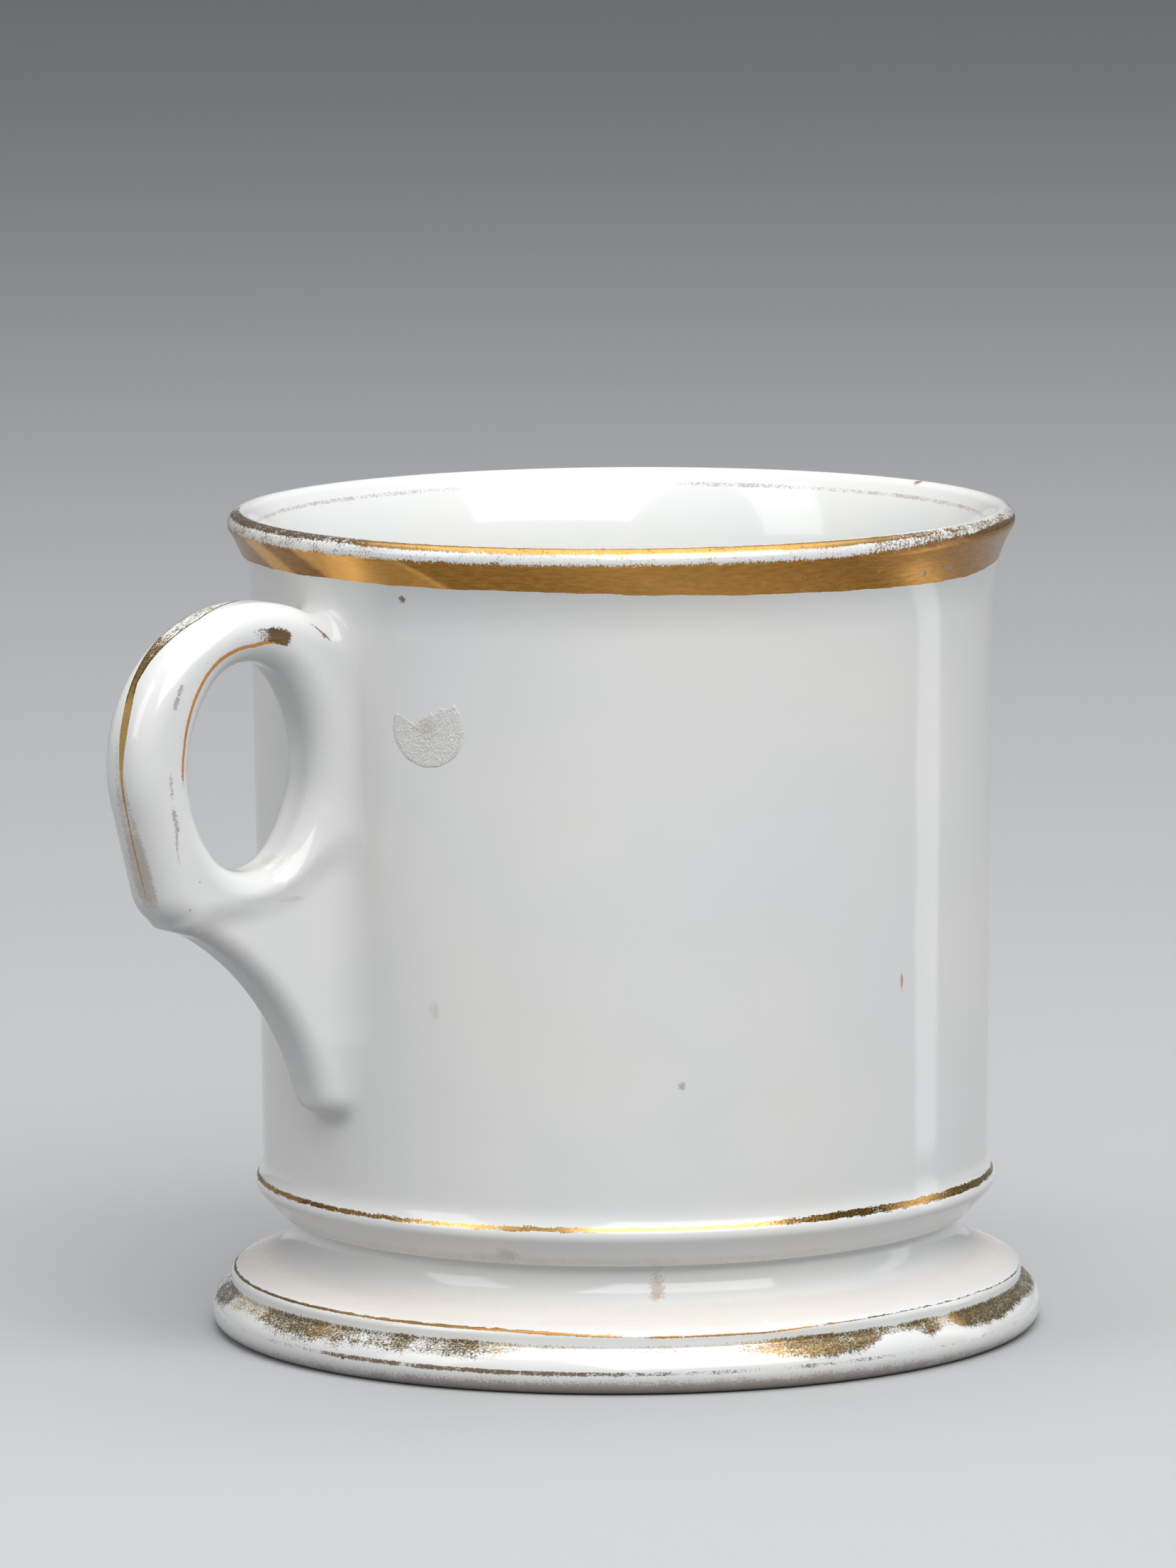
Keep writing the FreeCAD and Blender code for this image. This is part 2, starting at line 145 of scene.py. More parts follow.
rows = WINDOW_LOW + WINDOW_STEP * np.arange(WINDOW_ROWS)
step_to([(wall_radius(WINDOW_LOW - 1.2), WINDOW_LOW - 1.2)])
first_row = len(outline)
step_to(np.column_stack((wall_radius(rows), rows)))
flare_end = math.degrees(math.atan2(flare_rise, FLARE - flare_across))
flare_now = math.degrees(math.asin((rows[-1] - FLARE_START) / FLARE))
flare_centre = (WALL_TOP + FLARE, FLARE_START)
step_to(arc(flare_centre, FLARE, 180 - flare_now, 180 - flare_end, 2))
step_to(arc(LIP, LIP_ROUND, -flare_end, 90, 8))
step_to(arc(LIP, LIP_ROUND, 90, 180 - flare_end, 8))
step_to(arc(flare_centre, FLARE + 2 * LIP_ROUND, 180 - flare_end, 180, 2.5))
floor_centre = np.array((WALL_LOW - WALL_THICK - FLOOR_ROUND, FLOOR_HEIGHT + FLOOR_ROUND))
step_to(line(floor_centre + (FLOOR_ROUND, 0), 12))
step_to(arc(floor_centre, FLOOR_ROUND, 0, -90, 7.5))
step_to(line((0, FLOOR_HEIGHT), 3))
outline = np.array(outline, float)
along = np.concatenate(([0], np.cumsum(np.linalg.norm(np.diff(outline, axis=0), axis=1))))
print("outline:", len(outline), "points,", round(along[-1], 1), "mm long, lip flare radius", round(FLARE, 2))

# %% [markdown]
# ## Turning the outline
# A lathe turns one outline round an axis, and a node tree can do the same: it lays a flat grid with one row
# for each point of the outline, and sets each grid point to its radius, height and angle. The columns are
# half a degree apart where the handle joins the wall and wider elsewhere, so that the skin is only as fine as
# it has to be. The row is stored, because the handle's skin is sewn to it later.

# %% A function that adds a node
def add(tree, kind, inputs=None, **settings):
    """Adds a node with its settings, and links or sets its inputs."""
    node = tree.nodes.new(kind)
    for name, value in settings.items():
        setattr(node, name, value)
    for key, value in (inputs or {}).items():
        if isinstance(value, bpy.types.NodeSocket):
            tree.links.new(value, node.inputs[key])
        else:
            node.inputs[key].default_value = value
    return node


# %% The lathe as a node tree
lathe = bpy.data.node_groups.new("lathe", "GeometryNodeTree")
lathe.interface.new_socket("Geometry", in_out="OUTPUT", socket_type="NodeSocketGeometry")
for name, kind in (("Outline", "NodeSocketObject"), ("Points", "NodeSocketInt"), ("Columns", "NodeSocketInt"),
                   ("Fine Columns", "NodeSocketInt"), ("Fine Turn", "NodeSocketFloat"),
                   ("Middle Turn", "NodeSocketFloat"), ("Material", "NodeSocketMaterial")):
    lathe.interface.new_socket(name, in_out="INPUT", socket_type=kind)
given = add(lathe, "NodeGroupInput").outputs
MATH, FIELD = "ShaderNodeMath", "FLOAT_VECTOR"

grid = add(lathe, "GeometryNodeMeshGrid", {"Vertices X": given["Columns"], "Vertices Y": given["Points"]})
index = add(lathe, "GeometryNodeInputIndex").outputs[0]
middle = add(lathe, MATH, {0: index, 1: 0.5}, operation="ADD").outputs[0]
share = add(lathe, MATH, {0: middle, 1: given["Points"]}, operation="DIVIDE").outputs[0]
column = add(lathe, MATH, {0: share}, operation="FLOOR").outputs[0]
before = add(lathe, MATH, {0: column, 1: given["Points"]}, operation="MULTIPLY").outputs[0]
row = add(lathe, MATH, {0: index, 1: before}, operation="SUBTRACT").outputs[0]

# columns up to the last fine one are a fine turn apart, and the others share what is left of the full turn
fine_last = add(lathe, MATH, {0: given["Fine Columns"], 1: 1.0}, operation="SUBTRACT").outputs[0]
fine_part = add(lathe, MATH, {0: column, 1: fine_last}, operation="MINIMUM").outputs[0]
fine_turn = add(lathe, MATH, {0: fine_part, 1: given["Fine Turn"]}, operation="MULTIPLY").outputs[0]
fine_span = add(lathe, MATH, {0: fine_last, 1: given["Fine Turn"]}, operation="MULTIPLY").outputs[0]
rest_span = add(lathe, MATH, {0: 360.0, 1: fine_span}, operation="SUBTRACT").outputs[0]
rest_count = add(lathe, MATH, {0: given["Columns"], 1: given["Fine Columns"]},
                 operation="SUBTRACT").outputs[0]
past = add(lathe, MATH, {0: column, 1: fine_last}, operation="SUBTRACT").outputs[0]
past = add(lathe, MATH, {0: past, 1: 0.0}, operation="MAXIMUM").outputs[0]
rest_turn = add(lathe, MATH, {0: rest_span, 1: rest_count}, operation="DIVIDE").outputs[0]
rest_part = add(lathe, MATH, {0: past, 1: rest_turn}, operation="MULTIPLY").outputs[0]
start = add(lathe, MATH, {0: fine_span, 1: -0.5, 2: given["Middle Turn"]},
            operation="MULTIPLY_ADD").outputs[0]
turned = add(lathe, MATH, {0: fine_turn, 1: rest_part}, operation="ADD").outputs[0]
turned = add(lathe, MATH, {0: turned, 1: start}, operation="ADD").outputs[0]
angle = add(lathe, MATH, {0: turned}, operation="RADIANS").outputs[0]

template = add(lathe, "GeometryNodeObjectInfo", {"Object": given["Outline"]}, transform_space="ORIGINAL")
place = add(lathe, "GeometryNodeInputPosition").outputs[0]
point = add(lathe, "GeometryNodeSampleIndex", {"Geometry": template.outputs["Geometry"], "Index": row},
            data_type=FIELD)
lathe.links.new(place, point.inputs["Value"])
around = add(lathe, "ShaderNodeVectorRotate", {"Vector": point.outputs[0], "Angle": angle},
             rotation_type="Z_AXIS")
skin = add(lathe, "GeometryNodeSetPosition", {"Geometry": grid.outputs[0], "Position": around.outputs[0]})
skin = add(lathe, "GeometryNodeStoreNamedAttribute",
           {"Geometry": skin.outputs[0], "Name": "row", "Value": row}, data_type="INT", domain="POINT")
skin = add(lathe, "GeometryNodeMergeByDistance", {"Geometry": skin.outputs[0], "Distance": 1e-6})
skin = add(lathe, "GeometryNodeRealizeInstances", {"Geometry": skin.outputs[0]})
skin = add(lathe, "GeometryNodeSetMaterial", {"Geometry": skin.outputs[0], "Material": given["Material"]})
add(lathe, "NodeGroupOutput", {"Geometry": skin.outputs[0]})
print("lathe tree:", len(lathe.nodes), "nodes")

# %% Turn the mug
FINE_COLUMNS, FINE_TURN, COLUMNS = 49, 0.5, 178
glaze = bpy.data.materials.new("gilded_porcelain_glaze")

template_mesh = bpy.data.meshes.new("outline")
template_mesh.from_pydata([(MM * r, 0, MM * z) for r, z in outline], [], [])
template_object = bpy.data.objects.new("outline", template_mesh)
blank = bpy.data.objects.new("blank", bpy.data.meshes.new("blank"))
bpy.context.scene.collection.objects.link(blank)
turning = blank.modifiers.new("lathe", "NODES")
turning.node_group = lathe
settings = {"Outline": template_object, "Points": len(outline), "Columns": COLUMNS,
            "Fine Columns": FINE_COLUMNS, "Fine Turn": FINE_TURN, "Middle Turn": 180.0, "Material": glaze}
for socket in lathe.interface.items_tree:
    if socket.in_out == "INPUT":
        turning[socket.identifier] = settings[socket.name]
evaluated = blank.evaluated_get(bpy.context.evaluated_depsgraph_get())
turned_mesh = bpy.data.meshes.new_from_object(evaluated)
bpy.data.objects.remove(blank)
bpy.data.objects.remove(template_object)


def read(collection, name, width=1, kind=float):
    """One property of every vertex, face or loop as an array."""
    values = np.empty(len(collection) * width, kind)
    collection.foreach_get(name, values)
    return values.reshape(-1, width) if width > 1 else values


skin_points = read(turned_mesh.vertices, "co", 3) / MM
skin_rows = read(turned_mesh.attributes["row"].data, "value", kind=np.int32)
skin_turns = np.degrees(np.arctan2(-skin_points[:, 1], -skin_points[:, 0]))
skin_columns = np.rint(skin_turns / FINE_TURN).astype(int) + FINE_COLUMNS // 2
skin_faces = [tuple(face.vertices) for face in turned_mesh.polygons]
print("turned skin:", len(skin_points), "points,", len(skin_faces), "faces,", skin_rows.max() + 1, "rows")

# %% [markdown]
# ## The handle as a field of distances
# A stuck-on handle has no sharp joint: the maker smooths the clay, and the glaze fills what is left. That is
# hard to get from separate meshes, and easy from distances. The field below is negative in the clay and
# positive in the air. The smaller of two distances joins two forms, and a smooth minimum rounds the corner
# between them. The handle's side outline is drawn with lines and arcs (reach from the axis, height), and a
# plate of that outline gets rounded edges.

# %% Distances to the handle's outline
LOOP, LOOP_ROUND = np.array((51.4, 68.1)), 17.08
HOLE, HOLE_WIDE, HOLE_HIGH, HOLE_END = np.array((52.6, 67.3)), 8.1, 11.5, 6.4
HEEL, HEEL_ROUND = np.array((60.54, 55.17)), 5
BEAD, BEAD_ROUND, BEAD_END_TURN, BEAD_LEAN, BEAD_CORE = np.array((52.4, 62.0)), 10.6, -125, 35, 8.5
STRAP_LEAN, HEEL_TURN, ROOT_REACH = -14.6, -98.2, 39.05


def on_arc(centre, radius, turn):
    return centre + radius * heading(turn)


def arc_piece(centre, radius, start, end):
    """One arc of a closed outline: what its distance is worked out from, and points for its inside."""
    turns = np.linspace(start, end, 2 + int(abs(end - start) / 2))
    corners = [on_arc(centre, radius, turn) for turn in turns]
    return ("arc", centre, radius, min(start, end), abs(end - start)), corners


def line_piece(start, end):
    return ("line", np.array(start), np.array(end)), [np.array(start), np.array(end)]


def flat_distance(points, pieces):
    """Distance from points to a closed outline in its plane, negative inside."""
    nearest = np.full(len(points), 1e9)
    for piece, _ in pieces:
        if piece[0] == "arc":
            _, centre, radius, start, sweep = piece
            gap = points - centre
            turn = (np.degrees(np.arctan2(gap[:, 1], gap[:, 0])) - start) % 360
            found = np.where(turn <= sweep, np.abs(np.hypot(gap[:, 0], gap[:, 1]) - radius), 1e9)
        else:
            _, start, end = piece
            span = end - start
            part = np.clip((points - start) @ span / (span @ span), 0, 1)
            found = np.linalg.norm(points - start - part[:, None] * span, axis=1)
        nearest = np.minimum(nearest, found)
    corners = np.concatenate([corners for _, corners in pieces])
    inside = np.zeros(len(points), bool)
    for (x0, y0), (x1, y1) in zip(corners, np.roll(corners, -1, axis=0)):
        if y0 != y1:
            crosses = (points[:, 1] >= min(y0, y1)) & (points[:, 1] < max(y0, y1))
            inside ^= crosses & (points[:, 0] < x0 + (points[:, 1] - y0) * (x1 - x0) / (y1 - y0))
    return np.where(inside, -nearest, nearest)


# %% Outlines of the loop, the hole and the tail
strap_top, strap_low = on_arc(LOOP, LOOP_ROUND, STRAP_LEAN), on_arc(HEEL, HEEL_ROUND, STRAP_LEAN)
root_turn = 180 - math.degrees(math.acos((LOOP[0] - ROOT_REACH) / LOOP_ROUND))
bead_end = on_arc(BEAD, BEAD_ROUND, BEAD_END_TURN)
bead_rise = (bead_end[0] - ROOT_REACH) * math.tan(math.radians(BEAD_LEAN))
bead_root = np.array((ROOT_REACH, bead_end[1] + bead_rise))
loop_outline = [
    arc_piece(LOOP, LOOP_ROUND, root_turn, STRAP_LEAN),
    line_piece(strap_top, strap_low),
    arc_piece(HEEL, HEEL_ROUND, STRAP_LEAN, HEEL_TURN),
    line_piece(on_arc(HEEL, HEEL_ROUND, HEEL_TURN), on_arc(BEAD, BEAD_ROUND, HEEL_TURN)),
    arc_piece(BEAD, BEAD_ROUND, HEEL_TURN, BEAD_END_TURN),
    line_piece(bead_end, bead_root),
    line_piece(bead_root, on_arc(LOOP, LOOP_ROUND, root_turn)),
]
drop, spare = HOLE_HIGH - HOLE_END, HOLE_WIDE - HOLE_END
side_round = (HOLE_WIDE ** 2 + drop ** 2 - HOLE_END ** 2) / (2 * spare)
hole_turn = math.degrees(math.atan2(drop, side_round - HOLE_WIDE))
sides = np.array((side_round - HOLE_WIDE, 0))
hole_outline = [
    arc_piece(HOLE + (0, drop), HOLE_END, hole_turn, 180 - hole_turn),
    arc_piece(HOLE + sides, side_round, 180 - hole_turn, 180 + hole_turn),
    arc_piece(HOLE - (0, drop), HOLE_END, 180 + hole_turn, 360 - hole_turn),
    arc_piece(HOLE - sides, side_round, 360 - hole_turn, 360 + hole_turn),
]
TAIL_ROUND, TIP_ROUND, TAIL_START, TAIL_END = 31, 2.2, 112, 166.3
tail_start = on_arc(HEEL, HEEL_ROUND, TAIL_START - 180)
sweep = tail_start - on_arc(np.zeros(2), TAIL_ROUND, TAIL_START)
tip = sweep + on_arc(np.zeros(2), TAIL_ROUND + TIP_ROUND, TAIL_END)
tail_outline = [
    line_piece(HEEL, tail_start),
    arc_piece(sweep, TAIL_ROUND, TAIL_START, TAIL_END),
    arc_piece(tip, TIP_ROUND, TAIL_END - 180, -90),
    line_piece(tip - (0, TIP_ROUND), (ROOT_REACH, tip[1] - TIP_ROUND)),
    line_piece((ROOT_REACH, tip[1] - TIP_ROUND), (ROOT_REACH, BEAD[1])),
    line_piece((ROOT_REACH, BEAD[1]), (BEAD[0] - BEAD_CORE, BEAD[1])),
    arc_piece(BEAD, BEAD_CORE, 180, 270),
    line_piece(BEAD - (0, BEAD_CORE), HEEL),
]
print("tail's tip at reach", round(tip[0], 2), "height", round(tip[1] - TIP_ROUND, 2))


# %% The field
LOOP_HALF, LOOP_EDGE, TAIL_HALF, TAIL_EDGE = 4.3, 3.2, 3.6, 2.2
TONGUE_DROP = 0.5
TONGUE_MIDDLE = tip[1] - TIP_ROUND - TONGUE_DROP + TAIL_HALF
CREASE_BLEND = 1.6
# the joint with the wall is tight at the tail's tip, widest along the tail and tighter again at the loop
BLEND_HEIGHTS, BLENDS = (29, 36, 45, 60), (2.8, 4.6, 4.6, 3.6)


def plate(flat, across, edge):
    """A plate with rounded edges, from the distances to its outline and to its two faces."""
    out, side = flat + edge, across + edge
    return np.minimum(np.maximum(out, side), 0) + np.hypot(np.maximum(out, 0), np.maximum(side, 0)) - edge


def joined(a, b, blend):
    """The smaller of two distances, with the corner between the two forms rounded."""
    near = np.maximum(blend - np.abs(a - b), 0) / blend
    return np.minimum(a, b) - near ** 2 * blend / 4


def field(points):
    """Distance to the clay near the handle, for points in millimetres."""
    flat = np.column_stack((-points[:, 0], points[:, 2]))
    loop = np.maximum(flat_distance(flat, loop_outline), -flat_distance(flat, hole_outline))
    tail = flat_distance(flat, tail_outline)
    # seen from behind, the tail ends in a half circle like a tongue
    tongue = np.hypot(points[:, 1], np.minimum(points[:, 2] - TONGUE_MIDDLE, 0)) - TAIL_HALF
    handle = joined(plate(loop, np.abs(points[:, 1]) - LOOP_HALF, LOOP_EDGE), plate(tail, tongue, TAIL_EDGE),
                    CREASE_BLEND)
    wall = np.hypot(points[:, 0], points[:, 1]) - wall_radius(points[:, 2])
    return joined(wall, handle, np.interp(points[:, 2], BLEND_HEIGHTS, BLENDS))


def slope(points, reach=0.02):
    """The field's direction of growth, which is the skin's normal."""
    steps = reach * np.eye(3)
    return np.column_stack([(field(points + step) - field(points - step)) / (2 * reach) for step in steps])


# %% [markdown]
# ## The handle's skin
# The field is sampled on a grid of turns, heights and depths from the wall that continues the lathe's own
# rows and columns. Each cell that the surface passes through gets one point, and each grid edge that it
# crosses joins four of them with a face. The points are then spread evenly and pressed onto the surface.
# Those at the rim of the grid are left where the lathe has its own points, so that the two skins can be sewn
# together.

# %% Sample the field and find the skin's points
turns = np.radians(FINE_TURN) * (np.arange(FINE_COLUMNS + 1) - FINE_COLUMNS / 2)
heights = WINDOW_LOW + WINDOW_STEP * (np.arange(WINDOW_ROWS + 1) - 0.5)
DEPTH_LOW, DEPTH_HIGH, DEPTH_STEP = -1.25, 28.3, 0.5
depths = np.arange(DEPTH_LOW, DEPTH_HIGH, DEPTH_STEP)
turn_grid, height_grid, depth_grid = np.meshgrid(turns, heights, depths, indexing="ij")


def to_space(turn, height, depth):
    """Points from a turn away from the handle's middle, a height and a distance off the wall."""
    radius = wall_radius(height) + depth
    return np.column_stack((-radius * np.cos(turn), -radius * np.sin(turn), height))


samples = field(to_space(turn_grid.ravel(), height_grid.ravel(), depth_grid.ravel())).reshape(turn_grid.shape)
cells = tuple(size - 1 for size in samples.shape)
total, count = np.zeros(cells + (3,)), np.zeros(cells)
crossings = []
for axis in range(3):
    first = samples.take(range(samples.shape[axis] - 1), axis)
    second = samples.take(range(1, samples.shape[axis]), axis)
    edges = np.argwhere((first < 0) != (second < 0))
    spots = edges.astype(float)
    values = first[tuple(edges.T)], second[tuple(edges.T)]
    spots[:, axis] += values[0] / (values[0] - values[1])
    others = [other for other in range(3) if other != axis]
    around = []
    for back in ((0, 0), (1, 0), (1, 1), (0, 1)):
        cell = edges.copy()
        cell[:, others] -= back
        fits = ((cell >= 0) & (cell < cells)).all(axis=1)
        np.add.at(total, tuple(cell[fits].T), spots[fits])
        np.add.at(count, tuple(cell[fits].T), 1)
        around.append(cell)
    crossings.append((axis, edges, values[0] < 0, around))
used = np.argwhere(count > 0)
number = np.full(cells, -1)
number[tuple(used.T)] = np.arange(len(used))
spots = total[tuple(used.T)] / count[tuple(used.T)][:, None]
net = to_space(turns[0] + spots[:, 0] * (turns[1] - turns[0]), heights[0] + spots[:, 1] * WINDOW_STEP,
               depths[0] + spots[:, 2] * DEPTH_STEP)

net_faces = []
for axis, edges, starts_inside, around in crossings:
    fits = np.all([((cell >= 0) & (cell < cells)).all(axis=1) for cell in around], axis=0)
    quads = np.column_stack([number[tuple(cell[fits].T)] for cell in around])
    turned_over = starts_inside[fits] == (axis == 1)
    quads[turned_over] = quads[turned_over][:, ::-1]
    net_faces.append(quads)
net_faces = np.concatenate(net_faces)
print("handle skin:", len(net), "points,", len(net_faces), "faces")

# %% Press the points onto the surface
rim = (used[:, 0] == 0) | (used[:, 0] == cells[0] - 1) | (used[:, 1] == 0) | (used[:, 1] == cells[1] - 1)
free = ~rim
rim_turn = np.radians(FINE_TURN) * (used[rim, 0] - (FINE_COLUMNS - 1) / 2)
rim_height = WINDOW_LOW + WINDOW_STEP * used[rim, 1]
net[rim] = to_space(rim_turn, rim_height, np.zeros(rim.sum()))
links = np.concatenate([net_faces[:, (k, (k + 1) % 4)] for k in range(4)])
links = np.unique(np.concatenate((links, links[:, ::-1])), axis=0)
neighbours = np.bincount(links[:, 0], minlength=len(net))[:, None]


def press(points):
    normal = slope(points)
    length = (normal ** 2).sum(axis=1, keepdims=True)
    return points - field(points)[:, None] * normal / length, normal / np.sqrt(length)


SPREADS, LAST_PRESSES = 6, 3
net[free], _ = press(net[free])
for _ in range(SPREADS):
    middle = np.zeros_like(net)
    np.add.at(middle, links[:, 0], net[links[:, 1]])
    pull = (middle / neighbours - net)[free]
    pressed, normal = press(net[free])
    pull -= (pull * normal).sum(axis=1, keepdims=True) * normal
    net[free] = pressed + 0.5 * pull
for _ in range(LAST_PRESSES):
    net[free], _ = press(net[free])
print("largest distance from the surface, mm:", float(np.abs(field(net[free])).max()))

# %% Sew the two skins together
inside_window = (skin_columns >= 0) & (skin_columns < FINE_COLUMNS)
inside_window &= (skin_rows >= first_row) & (skin_rows < first_row + WINDOW_ROWS)
place_of = {(c, r): i for i, (c, r) in enumerate(zip(skin_columns, skin_rows)) if inside_window[i]}
kept = [face for face in skin_faces if not all(inside_window[i] for i in face)]
to_shared = np.arange(len(net)) + len(skin_points)
for i in np.flatnonzero(rim):
    to_shared[i] = place_of[(used[i, 0], used[i, 1] + first_row)]
all_points = np.concatenate((skin_points, net))
all_faces = kept + [tuple(face) for face in to_shared[net_faces]]
in_use = np.unique(np.concatenate([np.array(face) for face in all_faces]))
new_number = np.full(len(all_points), -1)
new_number[in_use] = np.arange(len(in_use))
mug_mesh = bpy.data.meshes.new("porcelain_mug")
mug_faces = [new_number[list(face)].tolist() for face in all_faces]
mug_mesh.from_pydata((all_points[in_use] * MM).tolist(), [], mug_faces)
mug_mesh.materials.append(glaze)
mug_mesh.polygons.foreach_set("use_smooth", np.ones(len(mug_mesh.polygons), bool))
mug_mesh.update()
mug = bpy.data.objects.new("porcelain_mug", mug_mesh)
bpy.context.scene.collection.objects.link(mug)

sewn = bmesh.new()
sewn.from_mesh(mug_mesh)
print("mug skin:", len(sewn.verts), "points,", sum(len(f.verts) - 2 for f in sewn.faces), "triangles,",
      sum(not edge.is_manifold for edge in sewn.edges), "open or doubled edges")
print("edges whose two faces disagree:", sum(e.is_manifold and not e.is_contiguous for e in sewn.edges))
print("volume, cm3:", round(sewn.calc_volume(signed=True) * 1e6, 2))
sewn.free()

# %% [markdown]
# ## Where things are on the skin
# Gilding was brushed on while the mug turned on a wheel, so its bands follow the outline, and their wear
# changes round the mug. A shader can follow them if each point knows how far along the outline it lies. That
# length is stored on the skin, with the distances to the handle's outline and to its finger hole for the
# strokes on the handle. They are stored as signed lengths, because those stay straight between two points.

# %% Store the lengths that the glaze needs
wall_rows = slice(first_row, first_row + WINDOW_ROWS)
net_along = np.interp(net[:, 2], outline[wall_rows, 1], along[wall_rows])
net_flat = np.column_stack((-net[:, 0], net[:, 2]))
lengths = {
    "along_profile": np.concatenate((along[skin_rows], net_along)),
    "loop_gap": np.concatenate((np.full(len(skin_points), 50.0), flat_distance(net_flat, loop_outline))),
    "hole_gap": np.concatenate((np.full(len(skin_points), 50.0), flat_distance(net_flat, hole_outline))),
}
for name, values in lengths.items():
    stored = mug_mesh.attributes.new(name, "FLOAT", "POINT")
    stored.data.foreach_set("value", values[in_use].astype(np.float32))
    print(name, "mm, from and to:", values[in_use].min().round(1), values[in_use].max().round(1))

# %% [markdown]
# ## The glaze and its worn gilding
# Glazed porcelain is a white body under clear glass: a diffuse white with a sharp, colourless reflection.
# Gilding is a film of gold burnt onto the glaze, so where it is whole it is a metal, and where it is rubbed
# thin it breaks into fine brown specks with white between them. One grain pattern decides where specks stay:
# a band keeps its gold where its cover, from 0 to 1, is above the grain. The cover follows the photograph
# round the mug, and falls off towards a band's edges.

# %% Colours and coordinates
def to_linear(code):
    """A colour written as sRGB hex, as linear values for a node's socket."""
    parts = [int(code[i:i + 2], 16) / 255 for i in (1, 3, 5)]
    return tuple(p / 12.92 if p <= 0.04045 else ((p + 0.055) / 1.055) ** 2.4 for p in parts) + (1.0,)


# glaze: clear glass over white clay, IOR about 1.5, smooth enough for the lamps to show as soft shapes
glaze.use_nodes = True
tree = glaze.node_tree
shader = tree.nodes["Principled BSDF"]
shader.inputs["IOR"].default_value = 1.5
VECTORS, RANGE, NOISE = "ShaderNodeVectorMath", "ShaderNodeMapRange", "ShaderNodeTexNoise"
MIX = "ShaderNodeMix"

spot = add(tree, "ShaderNodeTexCoord").outputs["Object"]
spot = add(tree, VECTORS, {0: spot, "Scale": 1000.0}, operation="SCALE").outputs[0]
parts = add(tree, "ShaderNodeSeparateXYZ", {0: spot}).outputs
back = add(tree, VECTORS, {0: spot, "Scale": -1.0}, operation="SCALE").outputs[0]
back = add(tree, "ShaderNodeSeparateXYZ", {0: back}).outputs
turn = add(tree, MATH, {0: back[1], 1: back[0]}, operation="ARCTAN2").outputs[0]
turn = add(tree, MATH, {0: turn}, operation="DEGREES").outputs[0]
profile = add(tree, "ShaderNodeAttribute", attribute_name="along_profile").outputs["Fac"]
side = parts[1]

# %% Grain, streaks and wobble
# grain: rubbed gold breaks up in specks of 0.15 to 0.3 mm, gathered in patches of 2 to 3 mm
specks = add(tree, NOISE, {"Vector": spot, "Scale": 4.2, "Detail": 4.0, "Roughness": 0.75}).outputs[0]
patches = add(tree, NOISE, {"Vector": spot, "Scale": 0.5, "Detail": 3.0, "Roughness": 0.6}).outputs[0]
grain = add(tree, MATH, {0: specks, 1: 0.72}, operation="MULTIPLY").outputs[0]
grain = add(tree, MATH, {0: patches, 1: 0.28, 2: grain}, operation="MULTIPLY_ADD").outputs[0]
grain = add(tree, RANGE, {0: grain, 1: 0.35, 2: 0.65}).outputs[0]

# streaks: brush hairs and wiping leave marks some 5 mm long and 0.3 mm wide round the mug
drawn = add(tree, MATH, {0: turn, 1: 0.15}, operation="MULTIPLY").outputs[0]
drawn = add(tree, "ShaderNodeCombineXYZ", {0: drawn, 1: profile}).outputs[0]
streaks = add(tree, NOISE, {"Vector": drawn, "Scale": 3.0, "Detail": 3.0, "Roughness": 0.65}).outputs[0]
wobble = add(tree, NOISE, {"Vector": drawn, "Scale": 0.9, "Detail": 2.0}).outputs[0]
wobble = add(tree, RANGE, {0: wobble, 1: 0.0, 2: 1.0, 3: -0.25, 4: 0.25}).outputs[0]
ragged = add(tree, RANGE, {0: streaks, 1: 0.3, 2: 0.7, 3: -0.14, 4: 0.14}).outputs[0]
brushed = add(tree, RANGE, {0: streaks, 1: 0.38, 2: 0.62, 3: -0.1, 4: 0.1}).outputs[0]
speckled = add(tree, RANGE, {0: specks, 1: 0.38, 2: 0.62, 3: -0.38, 4: 0.45}).outputs[0]


# %% Functions for the gilding
def follow(place, stops, low=0.0, high=1.0):
    """A value that changes along a place, given as pairs of place and value."""
    first, last = stops[0][0], stops[-1][0]
    share = add(tree, RANGE, {0: place, 1: first, 2: last}).outputs[0]
    ramp = add(tree, "ShaderNodeValToRGB", {0: share})
    elements = ramp.color_ramp.elements
    for at, _ in stops[1:-1]:
        elements.new((at - first) / (last - first))
    for element, (_, value) in zip(elements, stops):
        grey = (value - low) / (high - low)
        element.color = (grey, grey, grey, 1)
    return add(tree, RANGE, {0: ramp.outputs[0], 1: 0.0, 2: 1.0, 3: low, 4: high}).outputs[0]


def kept_gold(place, low, high, fade_low, fade_high, cover, soft=0.07):
    """Where a band between two places still has its gold."""
    rise = add(tree, MATH, {0: place, 1: low}, operation="SUBTRACT").outputs[0]
    rise = add(tree, MATH, {0: rise, 1: fade_low}, operation="DIVIDE").outputs[0]
    fall = add(tree, MATH, {0: high, 1: place}, operation="SUBTRACT").outputs[0]
    fall = add(tree, MATH, {0: fall, 1: fade_high}, operation="DIVIDE").outputs[0]
    level = add(tree, MATH, {0: rise, 1: fall}, operation="MINIMUM").outputs[0]
    level = add(tree, MATH, {0: level, 1: 1.0}, operation="MINIMUM").outputs[0]
    level = add(tree, MATH, {0: level, 1: cover}, operation="ADD").outputs[0]
    level = add(tree, MATH, {0: level, 1: 1.0}, operation="SUBTRACT").outputs[0]
    level = add(tree, MATH, {0: level, 1: grain}, operation="SUBTRACT").outputs[0]
    return add(tree, RANGE, {0: level, 1: -soft, 2: soft}, interpolation_type="SMOOTHSTEP").outputs[0]


